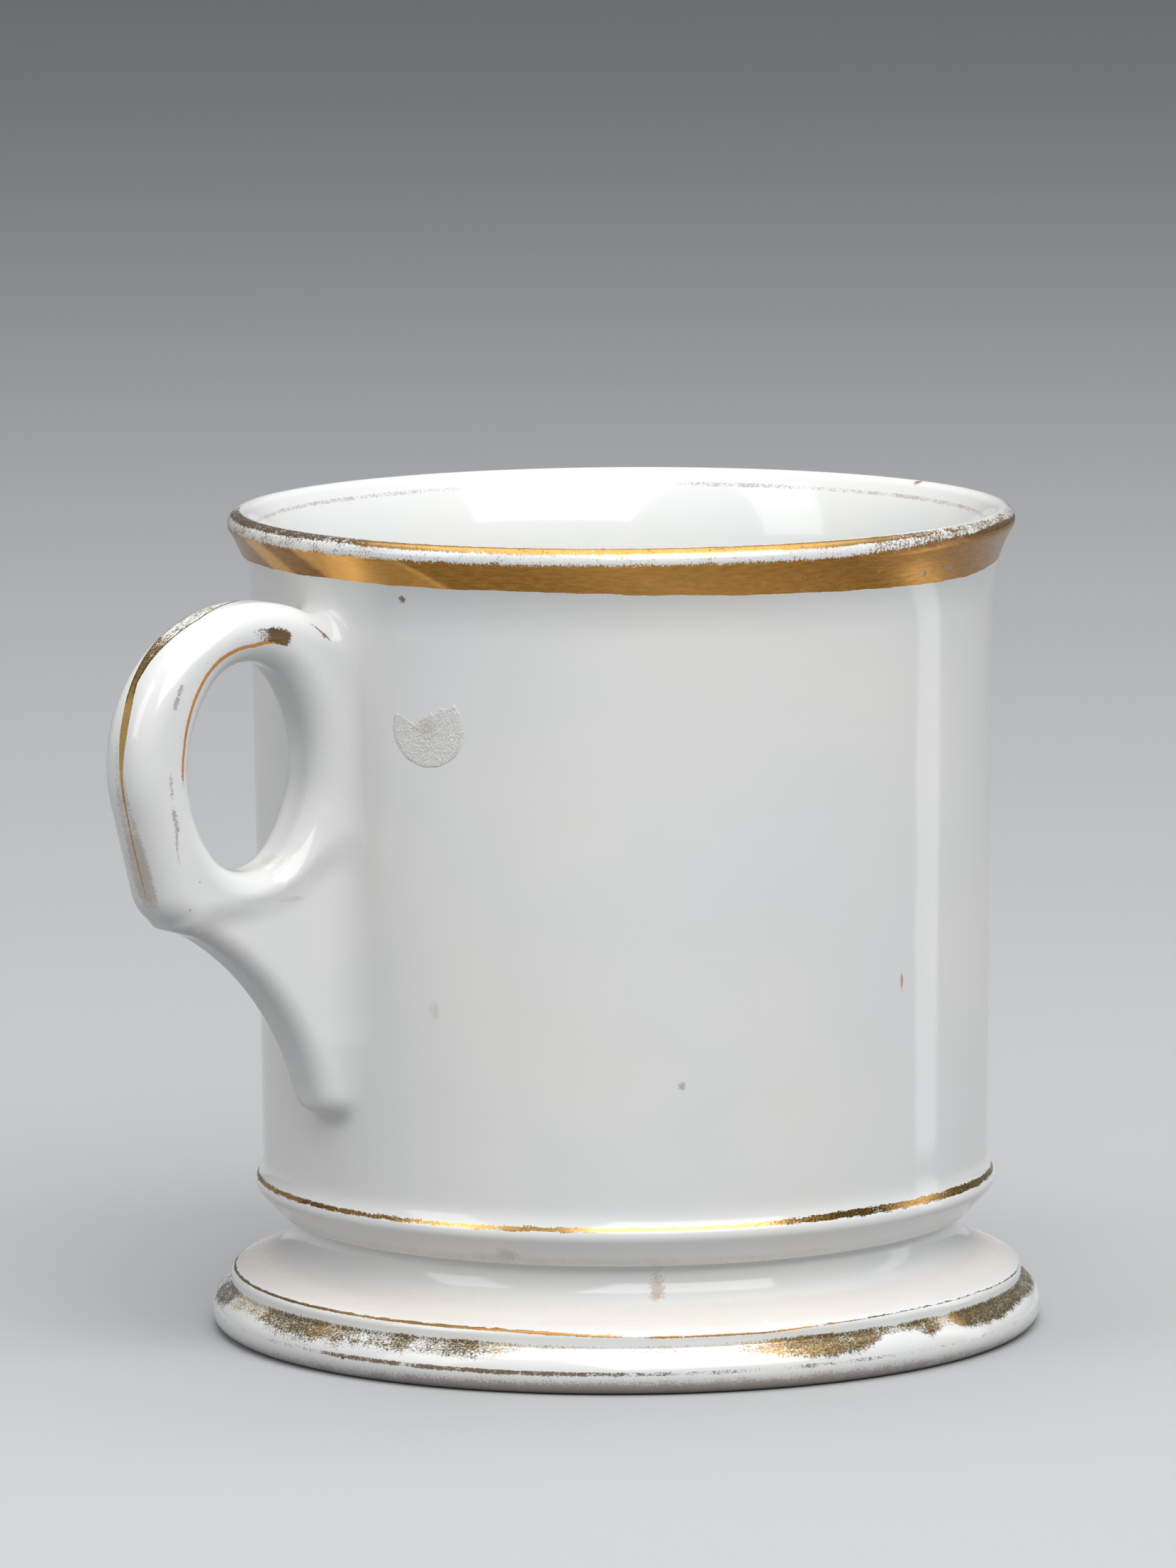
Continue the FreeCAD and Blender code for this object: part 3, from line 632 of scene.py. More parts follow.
# %% [markdown]
# ## Bands of the rim, ring and foot
# The rim has a wide band outside, a line on the lip and a thin line inside. The ring has one line, and the
# foot a fine line on its step, a wide band on its round and a thin line below. Places are millimetres along
# the outline, and turns are degrees from the handle towards the camera's side.

# %% Rim gilding
band_low = follow(turn, [(-180, 144.5), (-30, 144.9), (36, 144.85), (52, 144.6), (76, 144.05),
                         (104, 143.6), (117, 143.5), (129, 143.9), (180, 144.5)], 143, 145.5)
band_low = add(tree, MATH, {0: band_low, 1: wobble}, operation="ADD").outputs[0]
band_high = follow(turn, [(-180, 148.8), (-34, 149.3), (-24, 148.9), (0, 148.7), (86, 148.7),
                          (104, 149.3), (128, 150.0), (150, 149.4), (180, 148.8)], 148, 151)
band_cover = follow(turn, [(-180, 0.9), (-60, 0.95), (0, 1.0), (70, 1.0), (110, 0.97), (128, 0.9),
                           (180, 0.9)])
rim_band = kept_gold(profile, band_low, band_high, 0.08, 0.8, band_cover, 0.1)

# painted reflection: the band's colour turns lighter and darker round the mug in slanted patches, after the
# reflections of bright and dim surroundings on the gold
slanted = add(tree, MATH, {0: profile, 1: 2.2, 2: -146.5 * 2.2}, operation="MULTIPLY_ADD").outputs[0]
slanted = add(tree, MATH, {0: turn, 1: slanted}, operation="ADD").outputs[0]
rim_painted_reflection = follow(slanted, [(-180, 0.4), (-40, 0.4), (-29, 0.1), (-16, 0.1), (-14, 0.9), (-9, 0.95),
                            (-7, 0.2), (0, 0.15), (2, 0.95), (11, 1.0), (15, 0.7), (21, 0.6), (22.5, 0.9),
                            (23.5, 0.2), (40, 0.3), (56, 0.6), (76, 0.4), (90, 0.2), (102, 0.5),
                            (112, 0.25), (130, 0.2), (180, 0.4)])

lip_cover = follow(turn, [(-180, 0.45), (-120, 0.6), (-70, 0.5), (-40, 0.25), (-2, 0.2), (7, 0.45),
                          (14, 0.97), (84, 1.0), (95, 0.75), (106, 0.5), (125, 0.42), (164, 0.35),
                          (180, 0.45)])
lip_line = kept_gold(profile, 149.2, 150.7, 0.5, 0.3, lip_cover, 0.15)
# painted reflection: the lip line's colour is lighter where it faces the camera and darker towards the sides
lip_painted_reflection = follow(turn, [(-180, 0.3), (-6, 0.3), (14, 0.8), (40, 1.0), (84, 0.9), (100, 0.4), (180, 0.3)])
worn_lip_cover = follow(turn, [(-180, 0.25), (-40, 0.4), (-20, 0.48), (6, 0.34), (24, 0.2), (86, 0.2),
                               (100, 0.5), (130, 0.5), (180, 0.25)])
worn_lip = kept_gold(profile, 148.0, 150.6, 0.3, 0.5, worn_lip_cover, 0.12)
dark_lip_cover = follow(turn, [(-44, 0.3), (-34, 0.7), (-27, 0.85), (-10, 0.8), (0, 0.7), (10, 0.6),
                               (18, 0.2)])
dark_lip = kept_gold(profile, 149.1, 151.0, 0.6, 0.3, dark_lip_cover, 0.15)
inner_cover = follow(turn, [(-180, 0.45), (-158, 0.4), (-150, 0.6), (-142, 0.45), (-132, 0.1),
                            (-103, 0.15), (-92, 0.4), (-74, 0.5), (-50, 0.5), (0, 0.45), (140, 0.45),
                            (180, 0.5)])
inner_line = kept_gold(profile, 153.05, 154.0, 0.3, 0.3, inner_cover, 0.25)

# %% Ring gilding
ring_low = follow(turn, [(-180, 74.5), (-30, 74.3), (30, 74.35), (60, 74.55), (180, 74.5)], 74, 75)
ring_low = add(tree, MATH, {0: ragged, 1: ring_low}, operation="ADD").outputs[0]
ring_high = follow(turn, [(-180, 75.3), (-30, 75.15), (28, 75.2), (72, 75.25), (88, 75.65), (115, 75.7),
                          (132, 75.45), (180, 75.3)], 74.5, 76)
ring_high = add(tree, MATH, {0: ring_high, 1: ragged}, operation="ADD").outputs[0]
ring_cover = follow(turn, [(-180, 0.7), (-30, 0.95), (-6, 0.92), (2, 0.8), (20, 0.82), (36, 0.95),
                           (74, 1.0), (90, 0.92), (100, 0.8), (112, 0.9), (134, 0.9), (180, 0.7)])
ring_line = kept_gold(profile, ring_low, ring_high, 0.25, 0.28, ring_cover, 0.12)
# painted reflection: the ring line's colour is lighter where it faces the camera and where a lamp shone in it,
# darker elsewhere; random specks are added below
ring_painted_reflection_and_specks = follow(turn, [(-180, 0.5), (-32, 0.1), (-28, 0.15), (-25, 0.9), (-9, 0.8), (-6, 0.2),
                          (-1, 0.3), (5, 0.7), (13, 0.35), (20, 0.6), (27, 1.0), (70, 1.0), (74, 0.6),
                          (79, 0.15), (95, 0.1), (98, 0.9), (102, 1.0), (110, 0.7), (115, 0.3),
                          (134, 0.3), (180, 0.5)])
ring_painted_reflection_and_specks = add(tree, MATH, {0: ring_painted_reflection_and_specks, 1: speckled}, operation="ADD").outputs[0]

# %% Foot gilding
step_low = follow(turn, [(-180, 57.3), (-35, 57.55), (20, 57.45), (35, 57.4), (42, 57.2), (56, 56.85),
                         (73, 56.9), (82, 57.2), (96, 57.45), (115, 57.45), (131, 57.25),
                         (180, 57.3)], 56.5, 58)
step_wide = follow(turn, [(-180, 0.4), (-35, 0.45), (35, 0.6), (60, 0.42), (82, 0.3), (140, 0.28),
                          (180, 0.4)])
step_high = add(tree, MATH, {0: step_low, 1: step_wide}, operation="ADD").outputs[0]
step_high = add(tree, MATH, {0: step_high, 1: ragged}, operation="ADD").outputs[0]
step_cover = follow(turn, [(-180, 0.75), (-35, 0.95), (10, 0.92), (40, 0.97), (51, 0.8), (54, 0.1),
                           (57, 0.7), (72, 0.95), (90, 0.85), (131, 0.8), (150, 0.6), (180, 0.75)])
step_line = kept_gold(profile, step_low, step_high, 0.14, 0.14, step_cover, 0.12)
# painted reflection: the step line's colour is lightest where it faces the camera and the key lamp, darker
# towards the sides
step_painted_reflection = follow(turn, [(-180, 0.4), (-35, 0.15), (-5, 0.25), (10, 0.6), (70, 1.0), (85, 0.6),
                          (110, 0.2), (180, 0.4)])

foot_low = follow(turn, [(-180, 52.6), (-32, 51.8), (-22, 52.2), (-16, 52.6), (-4, 52.2), (8, 52.0),
                         (20, 52.2), (35, 52.4), (40, 53.6), (70, 53.2), (82, 52.5), (87, 52.8),
                         (91, 54.1), (97, 54.1), (99, 52.8), (102, 53.8), (112, 52.8), (127, 53.6),
                         (150, 53.0), (180, 52.6)], 51, 55)
foot_cover = follow(turn, [(-180, 0.5), (-120, 0.6), (-60, 0.45), (-38, 0.4), (-33, 0.65), (-26, 0.72),
                           (-22, 0.4), (-18, 0.45), (-11, 0.5), (-6, 0.72), (4, 0.74), (10, 0.55),
                           (15, 0.45), (19, 0.68), (23, 0.5), (30, 0.72), (34, 0.5), (38, 0.3),
                           (46, 0.12), (66, 0.12), (71, 0.5), (74, 0.75), (82, 0.85), (90, 0.8),
                           (94, 0.5), (100, 0.8), (103, 0.45), (105, 0.35), (107, 0.9), (138, 0.75),
                           (180, 0.5)])
foot_low = add(tree, MATH, {0: foot_low, 1: wobble}, operation="ADD").outputs[0]
foot_fade = follow(turn, [(-180, 2.0), (-34, 2.0), (34, 2.3), (70, 1.4), (80, 1.1), (140, 1.1),
                          (180, 2.0)], 0, 3)
foot_band = kept_gold(profile, foot_low, 56.6, foot_fade, 0.4, foot_cover, 0.26)
# painted reflection: the foot band's colour is lighter where it faces the camera and in lamp-lit patches,
# darker olive elsewhere; random specks are added below
foot_painted_reflection_and_specks = follow(turn, [(-180, 0.3), (-34, 0.05), (-24, 0.05), (-21, 0.9), (-11, 0.8), (-8, 0.1),
                          (1, 0.15), (6, 0.5), (10, 0.15), (24, 0.1), (32, 0.25), (35, 0.95), (73, 1.0),
                          (76, 0.4), (84, 0.15), (91, 0.2), (94, 0.5), (98, 0.15), (102, 0.3), (104, 1.0),
                          (106, 0.9), (108, 0.1), (130, 0.1), (180, 0.3)])
foot_painted_reflection_and_specks = add(tree, MATH, {0: foot_painted_reflection_and_specks, 1: speckled}, operation="ADD").outputs[0]

low_cover = follow(turn, [(-180, 0.4), (-40, 0.2), (3, 0.25), (9, 0.6), (13, 0.8), (20, 0.85),
                          (21.5, 0.1), (23, 0.8), (35, 0.85), (45, 0.7), (57, 0.45), (68, 0.35),
                          (74, 0.15), (78, 0.6), (83, 0.2), (88, 0.45), (92, 0.1), (180, 0.4)])
low_line = kept_gold(profile, 51.95, 52.8, 0.35, 0.2, low_cover, 0.25)
print("bands done,", len(tree.nodes), "nodes")

# %% [markdown]
# ## Strokes on the handle
# A brush line runs over the handle's back and thins to a hair below. Another follows the finger hole on each
# side and begins with a blunt dab. Their places come from the angle round the loop or the hole, the distance
# from its edge, and how far to the side the skin lies.

# %% Handle gilding
loop_gap = add(tree, "ShaderNodeAttribute", attribute_name="loop_gap").outputs["Fac"]
hole_gap = add(tree, "ShaderNodeAttribute", attribute_name="hole_gap").outputs["Fac"]


def angle_round(centre):
    """Degrees round a point of the handle's middle plane, from straight out, upwards."""
    out = add(tree, MATH, {0: back[0], 1: float(centre[0])}, operation="SUBTRACT").outputs[0]
    rise = add(tree, MATH, {0: parts[2], 1: float(centre[1])}, operation="SUBTRACT").outputs[0]
    found = add(tree, MATH, {0: rise, 1: out}, operation="ARCTAN2").outputs[0]
    return add(tree, MATH, {0: found}, operation="DEGREES").outputs[0]


loop_turn, hole_turn_here = angle_round(LOOP), angle_round(HOLE)
on_back = add(tree, RANGE, {0: loop_gap, 1: -1.9, 2: -1.4}).outputs[0]
on_loop = add(tree, RANGE, {0: loop_gap, 1: 1.0, 2: 0.6}).outputs[0]
on_back = add(tree, MATH, {0: on_back, 1: on_loop}, operation="MULTIPLY").outputs[0]
spine_middle = follow(loop_turn, [(-46, -0.7), (-28, -0.6), (-12, -0.85), (6, -0.75), (14, -0.6),
                                  (22, -0.3), (33, 0.5), (43, 0.7), (54, 0.75), (67, 0.5), (83, 1.6),
                                  (96, 2.4)], -4, 4)
spine_half = follow(loop_turn, [(-46, 0.16), (-20, 0.2), (-4, 0.27), (4, 0.45), (12, 0.7), (24, 0.75),
                                (33, 0.6), (43, 0.9), (54, 1.35), (67, 1.5), (83, 1.4), (96, 0.9)], 0, 2)
spine_offset = add(tree, MATH, {0: side, 1: spine_middle}, operation="SUBTRACT").outputs[0]
spine_offset = add(tree, MATH, {0: spine_offset}, operation="ABSOLUTE").outputs[0]
spine_inside = add(tree, MATH, {0: spine_half, 1: spine_offset}, operation="SUBTRACT").outputs[0]
spine_cover = follow(loop_turn, [(-47, 0.0), (-45, 0.7), (-38, 0.92), (0, 0.97), (38, 0.97), (48, 0.7),
                                 (56, 0.42), (80, 0.32), (92, 0.45), (96, 0.0)])
spine_stroke = kept_gold(spine_inside, 0.0, 9.0, 0.1, 1.0, spine_cover)
# painted highlight: the stroke's colour is lightest on the upper back of the loop, where a lamp shines in it
spine_painted_highlight = follow(loop_turn, [(-46, 0.25), (-8, 0.4), (2, 0.8), (10, 1.0), (24, 1.0), (31, 0.45),
                                (42, 0.2), (60, 0.3), (96, 0.3)])
outline_cover = follow(loop_turn, [(-46, 0.0), (20, 0.3), (40, 0.95), (90, 0.9), (97, 0.0)])
spine_outline = kept_gold(spine_inside, 0.0, 0.42, 0.1, 0.16, outline_cover)
stain_cover = follow(loop_turn, [(-50, 0.0), (-45, 0.85), (-32, 0.8), (-24, 0.6), (-8, 0.45), (8, 0.35),
                                 (14, 0.0)])
stain_low = follow(loop_turn, [(-50, -3.0), (-28, -2.7), (-6, -2.1), (14, -1.2)], -4, 4)
back_stain = kept_gold(side, stain_low, 1.8, 0.8, 1.6, stain_cover, 0.3)

hole_middle = follow(hole_turn_here, [(-6, 2.0), (18, 2.1), (31, 2.3), (43, 2.5), (56, 2.55), (68, 2.45),
                                      (78, 2.25), (88, 2.1), (99, 2.6)], 0, 6)
hole_offset = add(tree, MATH, {0: hole_gap, 1: hole_middle}, operation="SUBTRACT").outputs[0]
hole_cover = follow(hole_turn_here, [(-8, 0.0), (0, 0.75), (18, 0.9), (40, 0.97), (101, 1.0), (105, 0.0)])
hole_line = kept_gold(hole_offset, -0.32, 0.26, 0.14, 0.12, hole_cover, 0.12)
dab_cover = follow(hole_turn_here, [(84, 0.0), (90, 0.4), (95, 0.6), (97, 0.95), (105, 1.0), (108, 0.0)])
brush_dab = kept_gold(hole_gap, 2.3, 4.4, 0.25, 0.6, dab_cover, 0.15)
fleck_cover = follow(hole_turn_here, [(-44, 0.0), (-40, 0.4), (-33, 0.65), (-27, 0.75), (-18, 0.6),
                                      (-13, 0.2), (-8, 0.6), (0, 0.55), (4, 0.0), (32, 0.0), (34, 0.65),
                                      (44, 0.6), (47, 0.0)])
fleck_middle = follow(hole_turn_here, [(-40, 5.0), (-32, 4.4), (-27, 3.8), (0, 3.7), (20, 4.2), (34, 4.6),
                                       (45, 4.8)], 0, 6)
fleck_offset = add(tree, MATH, {0: hole_gap, 1: fleck_middle}, operation="SUBTRACT").outputs[0]
flecks = kept_gold(fleck_offset, -0.75, 0.75, 0.7, 0.7, fleck_cover, 0.25)

# a thin line runs along the loop's top edge to the joint with the wall
edge_middle = follow(loop_turn, [(98, -0.6), (105, -0.9), (116, -1.5), (124, -2.1)], -3, 0)
edge_offset = add(tree, MATH, {0: loop_gap, 1: edge_middle}, operation="SUBTRACT").outputs[0]
edge_cover = follow(loop_turn, [(111, 0.0), (114, 0.7), (118, 0.95), (122, 0.9), (125, 0.0)])
edge_line = kept_gold(edge_offset, -0.16, 0.16, 0.1, 0.1, edge_cover, 0.15)
flat_side = add(tree, MATH, {0: side}, operation="ABSOLUTE").outputs[0]
flat_side = add(tree, RANGE, {0: flat_side, 1: 2.6, 2: 3.2}).outputs[0]

# %% [markdown]
# ## Stains, tints, painted shade and small faults
# A band of painted shade lies under the ring. Tints lie on the foot's low edge that stands on the table, in
# its crease and on its slope, and below the handle's bead and in the finger hole. There are also a few single
# marks.
# Each one is a distance from a point on the skin, made uneven by the grain.

# %% Tints and painted shade in bands
# tints on the foot: brown on its low edge, grey-beige in its crease and pale beige on its slope, broken up by
# the grain
low_edge_tint_cover = follow(turn, [(-180, 0.5), (-30, 0.3), (10, 0.45), (26, 0.8), (50, 0.9), (90, 0.8),
                                (110, 0.45), (180, 0.5)])
low_edge_tint = kept_gold(profile, 49.0, 52.3, 0.5, 1.4, low_edge_tint_cover, 0.3)
crease_tint = kept_gold(profile, 55.6, 56.3, 0.2, 0.3, 0.55, 0.5)
# painted shade: a greyish beige band on the ring's underside, which turns down away from the lamps
ring_underside_shade_cover = follow(turn, [(-180, 0.5), (-20, 0.35), (12, 0.5), (30, 0.75), (50, 0.55), (100, 0.4),
                            (180, 0.5)])
ring_underside_painted_shade = kept_gold(profile, 68.0, 71.6, 1.0, 1.4, ring_underside_shade_cover, 0.5)
slope_tint = kept_gold(profile, 57.6, 65.0, 1.5, 3.0, 0.72, 0.6)

# %% Single marks
wall_start = along[first_row] - WINDOW_LOW


def skin_spot(turn_degrees, place):
    """The point on the turned skin at a turn from the handle and a length along the outline."""
    radius, height = (np.interp(place, along, outline[:, k]) for k in (0, 1))
    return (*(-radius * heading(turn_degrees)), height)


BROWN, ORANGE, GREY, DARK, BARE = "#6E4626", "#B9793C", "#8C8A88", "#2C2420", "#8F8C96"
stains = {
    "brown mark under the rim band": (skin_spot(18.3, 143.3), (1, 1, 1.1), 0.55, BROWN, 0.85),
    "smudge on the wall": (skin_spot(22.6, wall_start + 40.7), (1.2, 1.2, 0.8), 0.8, "#A5937F", 0.22),
    "orange streak": (skin_spot(100.8, wall_start + 42.4), (2.4, 2.4, 0.55), 0.5, ORANGE, 0.75),
    "grey spot": (skin_spot(61.5, wall_start + 33.1), (1, 1, 1), 0.42, GREY, 0.65),
    "pit in the foot": (skin_spot(11, 52.3), (1, 1, 1), 0.3, DARK, 0.95),
    "waist stain": (skin_spot(58, 65.0), (1.4, 1.4, 0.5), 1.2, "#A87848", 0.5),
    "spot on the far lip": (skin_spot(179, 151.4), (1, 1, 1), 0.55, BROWN, 0.9),
    "specks under the ring": (skin_spot(34, 70.8), (0.8, 0.8, 1.6), 1.2, "#85735C", 0.25),
    "dab near the handle's joint": ((-43.8, -4.2, 81.3), (1, 1, 0.8), 0.26, BROWN, 0.7),
    # beige tints below the handle's bead and at the bottom of the finger hole
    "tint below the bead": ((-48.4, -3.6, 52.6), (0.5, 1, 2.6), 0.9, "#B4966E", 0.22),
    "tint in the finger hole": ((-48.6, -1.2, 56.4), (0.7, 0.8, 1.4), 1.1, "#BA9A78", 0.26),
    "spot on the heel": ((-62.0, -4.2, 52.7), (1, 1, 1), 0.16, ORANGE, 0.7),
    "fleck on the heel": ((-60.8, -4.3, 55.7), (1, 1, 1), 0.09, DARK, 0.8),
}
bare_spots = {
    "first bare spot in the rim band": (skin_spot(104, 144.95), (1.2, 1.2, 1), 0.42, BARE, 0.9),
    "second bare spot in the rim band": (skin_spot(110, 145.15), (1.3, 1.3, 0.8), 0.45, BARE, 0.9),
}
rough_edge = add(tree, RANGE, {0: grain, 1: 0.0, 2: 1.0, 3: -0.5, 4: 0.9}).outputs[0]


def marked(spots):
    """Layers for single marks: a distance from each point, made uneven by the grain."""
    made = []
    for name, (centre, stretch, size, colour, strength) in spots.items():
        centre = tuple(float(c) for c in centre)
        gap = add(tree, VECTORS, {0: spot, 1: centre}, operation="SUBTRACT").outputs[0]
        gap = add(tree, VECTORS, {0: gap, 1: stretch}, operation="MULTIPLY").outputs[0]
        gap = add(tree, VECTORS, {0: gap}, operation="LENGTH").outputs["Value"]
        gap = add(tree, MATH, {0: gap, 1: 1 / size, 2: rough_edge}, operation="MULTIPLY_ADD").outputs[0]
        mask = add(tree, RANGE, {0: gap, 1: 1.25, 2: 0.85, 3: 0.0, 4: strength}, label=name).outputs[0]
        made.append((mask, colour, 0.0, 0.45))
    return made


# black pinholes: iron specks in the clay burn through the glaze as dots of 0.2 mm, a centimetre apart
pits = add(tree, "ShaderNodeTexVoronoi", {"Vector": spot, "Scale": 0.13}, feature="F1")
chosen = add(tree, "ShaderNodeSeparateColor", {0: pits.outputs["Color"]}).outputs[0]
chosen = add(tree, MATH, {0: chosen, 1: 0.6}, operation="GREATER_THAN").outputs[0]
pit_mask = add(tree, RANGE, {0: pits.outputs["Distance"], 1: 0.016, 2: 0.009, 3: 0.0, 4: 0.6}).outputs[0]
pit_mask = add(tree, MATH, {0: pit_mask, 1: chosen}, operation="MULTIPLY").outputs[0]
print("single marks:", len(stains) + len(bare_spots), "and pinholes")

# %% [markdown]
# ## Layers of the finish
# The white glaze lies lowest, tints, painted shade and stains over it, and gold on top. Each layer is a mask,
# a colour, how much of a metal it is and how rough. Whole gold is a metal with a warm brown, which shines
# orange to yellow where it mirrors a lamp and looks olive to brown where it mirrors something dim. The gold
# layers also carry
# painted reflection: each mixes a darker and a lighter copy of its colour by a tone. Rubbed gold is duller.

# %% Build the layers
WHITE, COOL_WHITE, GLAZE_ROUGHNESS = "#E5E5E1", "#E0E2E2", 0.1
tints_painted_shade_and_pits = [(slope_tint, "#DCD0C4", 0.6), (ring_underside_painted_shade, "#BDB19C", 0.4), (low_edge_tint, "#836640", 0.5),
        (crease_tint, "#A89A86", 0.5), (pit_mask, DARK, 1.0)]
gold = [(inner_line, 0.5, "#7C6E5C", "#B08C64", 0.2, 0.4, 0.55),
        (low_line, 0.4, "#4E3620", "#8C6436", 0.5, 0.45, 0.9),
        (foot_band, foot_painted_reflection_and_specks, "#4C4118", "#D0A55E", 0.6, 0.38, 0.95),
        (step_line, step_painted_reflection, "#6A5228", "#C98E44", 0.85, 0.35, 0.95),
        (ring_line, ring_painted_reflection_and_specks, "#6B5228", "#E0B068", 1.0, 0.28, 1.0),
        (rim_band, rim_painted_reflection, "#7E5622", "#D8A257", 1.0, 0.27, 1.0),
        (worn_lip, 0.4, "#6A4A28", "#B0854A", 0.5, 0.4, 0.75),
        (lip_line, lip_painted_reflection, "#8A6A3C", "#CDA05A", 0.9, 0.34, 1.0),
        (dark_lip, 0.4, "#2E2010", "#7E5C2C", 0.5, 0.4, 0.95)]
gold_on_back = [(back_stain, 0.5, "#8A6A4C", "#B09070", 0.0, 0.45, 0.5),
                (spine_stroke, spine_painted_highlight, "#7C5A28", "#E6BC74", 0.75, 0.3, 1.0),
                (spine_outline, 0.3, "#4A3C20", "#8A6C38", 0.7, 0.4, 0.9)]
gold_on_side = [(hole_line, 0.7, "#A0682E", "#E2A25A", 0.5, 0.35, 1.0),
                (brush_dab, 0.3, "#5A4626", "#A8844A", 0.85, 0.35, 0.95),
                (flecks, 0.4, "#6A5238", "#8E7250", 0.1, 0.45, 0.6),
                (edge_line, 0.4, "#7A5226", "#B07C40", 0.4, 0.4, 0.8)]

layers = [(add(tree, MATH, {0: mask, 1: part}, operation="MULTIPLY").outputs[0], colour, 0.0, 0.4)
          for mask, colour, part in tints_painted_shade_and_pits]
layers += marked(stains)
for group, where in ((gold, None), (gold_on_back, on_back), (gold_on_side, flat_side)):
    for mask, tone, dark, bright, metal, rough, part in group:
        mask = add(tree, MATH, {0: mask, 1: part}, operation="MULTIPLY").outputs[0]
        if where:
            mask = add(tree, MATH, {0: mask, 1: where}, operation="MULTIPLY").outputs[0]
        # painted reflection and real streaks: the tone, raised by brush streaks, picks between a darker and a
        # lighter copy of the layer's colour
        tone = add(tree, MATH, {0: brushed, 1: tone}, operation="ADD", use_clamp=True).outputs[0]
        shade = add(tree, MIX, {0: tone, 6: to_linear(dark), 7: to_linear(bright)}, data_type="RGBA")
        layers.append((mask, shade.outputs[2], metal, rough))
layers += marked(bare_spots)
print("layers:", len(layers))

# %% Join the layers in the shader
cloud = add(tree, NOISE, {"Vector": spot, "Scale": 0.035, "Detail": 2.0}).outputs[0]
cloud = add(tree, RANGE, {0: cloud, 1: 0.35, 2: 0.65}).outputs[0]
colour = add(tree, MIX, {0: cloud, 6: to_linear(WHITE), 7: to_linear(COOL_WHITE)}, data_type="RGBA")
colour = colour.outputs[2]
metal = rough = None
for mask, layer_colour, layer_metal, layer_rough in layers:
    if isinstance(layer_colour, str):
        layer_colour = to_linear(layer_colour)
    colour = add(tree, MIX, {0: mask, 6: colour, 7: layer_colour}, data_type="RGBA").outputs[2]
    metal = add(tree, MIX, {0: mask, 2: metal or 0.0, 3: layer_metal}).outputs[0]
    rough = add(tree, MIX, {0: mask, 2: rough or GLAZE_ROUGHNESS, 3: layer_rough}).outputs[0]
tree.links.new(colour, shader.inputs["Base Color"])
tree.links.new(metal, shader.inputs["Metallic"])
tree.links.new(rough, shader.inputs["Roughness"])
print("glaze tree:", len(tree.nodes), "nodes")

# %% [markdown]
# ## An uneven glaze
# Glaze runs while it melts, so it lies in very shallow waves, and the clay below keeps faint rings from
# throwing. Both are far too shallow to model, a few thousandths of a millimetre to some hundredths, but they
# bend the reflections. Bump mapping tilts the normals for them.

# %% Waves, throwing rings and fine peel
waves = add(tree, NOISE, {"Vector": spot, "Scale": 0.07, "Detail": 1.0}).outputs[0]
height = add(tree, MATH, {0: waves, 1: 0.12}, operation="MULTIPLY").outputs[0]
ring_place = add(tree, MATH, {0: turn, 1: 0.01}, operation="MULTIPLY").outputs[0]
ring_place = add(tree, "ShaderNodeCombineXYZ", {0: ring_place, 1: profile}).outputs[0]
thrown = add(tree, NOISE, {"Vector": ring_place, "Scale": 0.35, "Detail": 2.0}).outputs[0]
height = add(tree, MATH, {0: thrown, 1: 0.012, 2: height}, operation="MULTIPLY_ADD").outputs[0]
peel = add(tree, NOISE, {"Vector": spot, "Scale": 0.9, "Detail": 1.0}).outputs[0]
height = add(tree, MATH, {0: peel, 1: 0.0012, 2: height}, operation="MULTIPLY_ADD").outputs[0]
bump = add(tree, "ShaderNodeBump", {"Strength": 1.0, "Distance": MM, "Height": height})
tree.links.new(bump.outputs[0], shader.inputs["Normal"])
print("bump distance:", MM, "m for a height of 1")

# %% [markdown]
# ## Glue left by a label
# A round paper label was pulled off the wall and left a film of dried glue. It has a smooth round lower edge,
# a torn upper edge with two horns, and fine crinkles that catch the light. It is a thin closed piece of its
# own, drawn as rings round a middle: the outermost ring follows the film's outline, and its points are bent
# onto the wall.

# %% Outline of the film
GLUE_TURN, GLUE_HEIGHT, GLUE_WIDE, GLUE_HIGH, GLUE_DROP = 22.0, 71.6, 4.55, 4.2, 1.0
torn_edge = [(33, 5.2), (39, 5.4), (47, 5.35), (52, 4.75), (57, 4.2), (63, 3.95), (68, 3.3), (74, 2.85),
             (88, 2.7), (99, 2.6), (106, 2.2), (114, 2.35), (128, 2.1), (141, 2.1), (143, 2.9),
             (145, 3.5), (146, 4.4), (148, 5.25), (152, 5.0)]


def film_reach(angle):
    """How far the film reaches from its middle in a direction."""
    c, s = heading(angle)
    # the round label's edge, seen from a middle that lies GLUE_DROP below the label's own
    a, b = (c / GLUE_WIDE) ** 2 + (s / GLUE_HIGH) ** 2, -GLUE_DROP * s / GLUE_HIGH ** 2
    round_edge = (-b + math.sqrt(b * b - a * ((GLUE_DROP / GLUE_HIGH) ** 2 - 1))) / a
    if torn_edge[0][0] < angle < torn_edge[-1][0]:
        torn = float(np.interp(angle, *zip(*torn_edge)))
        return min(round_edge, torn * 0.96 + 0.5 * noise.noise(Vector((c, s, 0.5)) * 14))
    return round_edge + 0.06 * noise.noise(Vector((c, s, 0)) * 9)


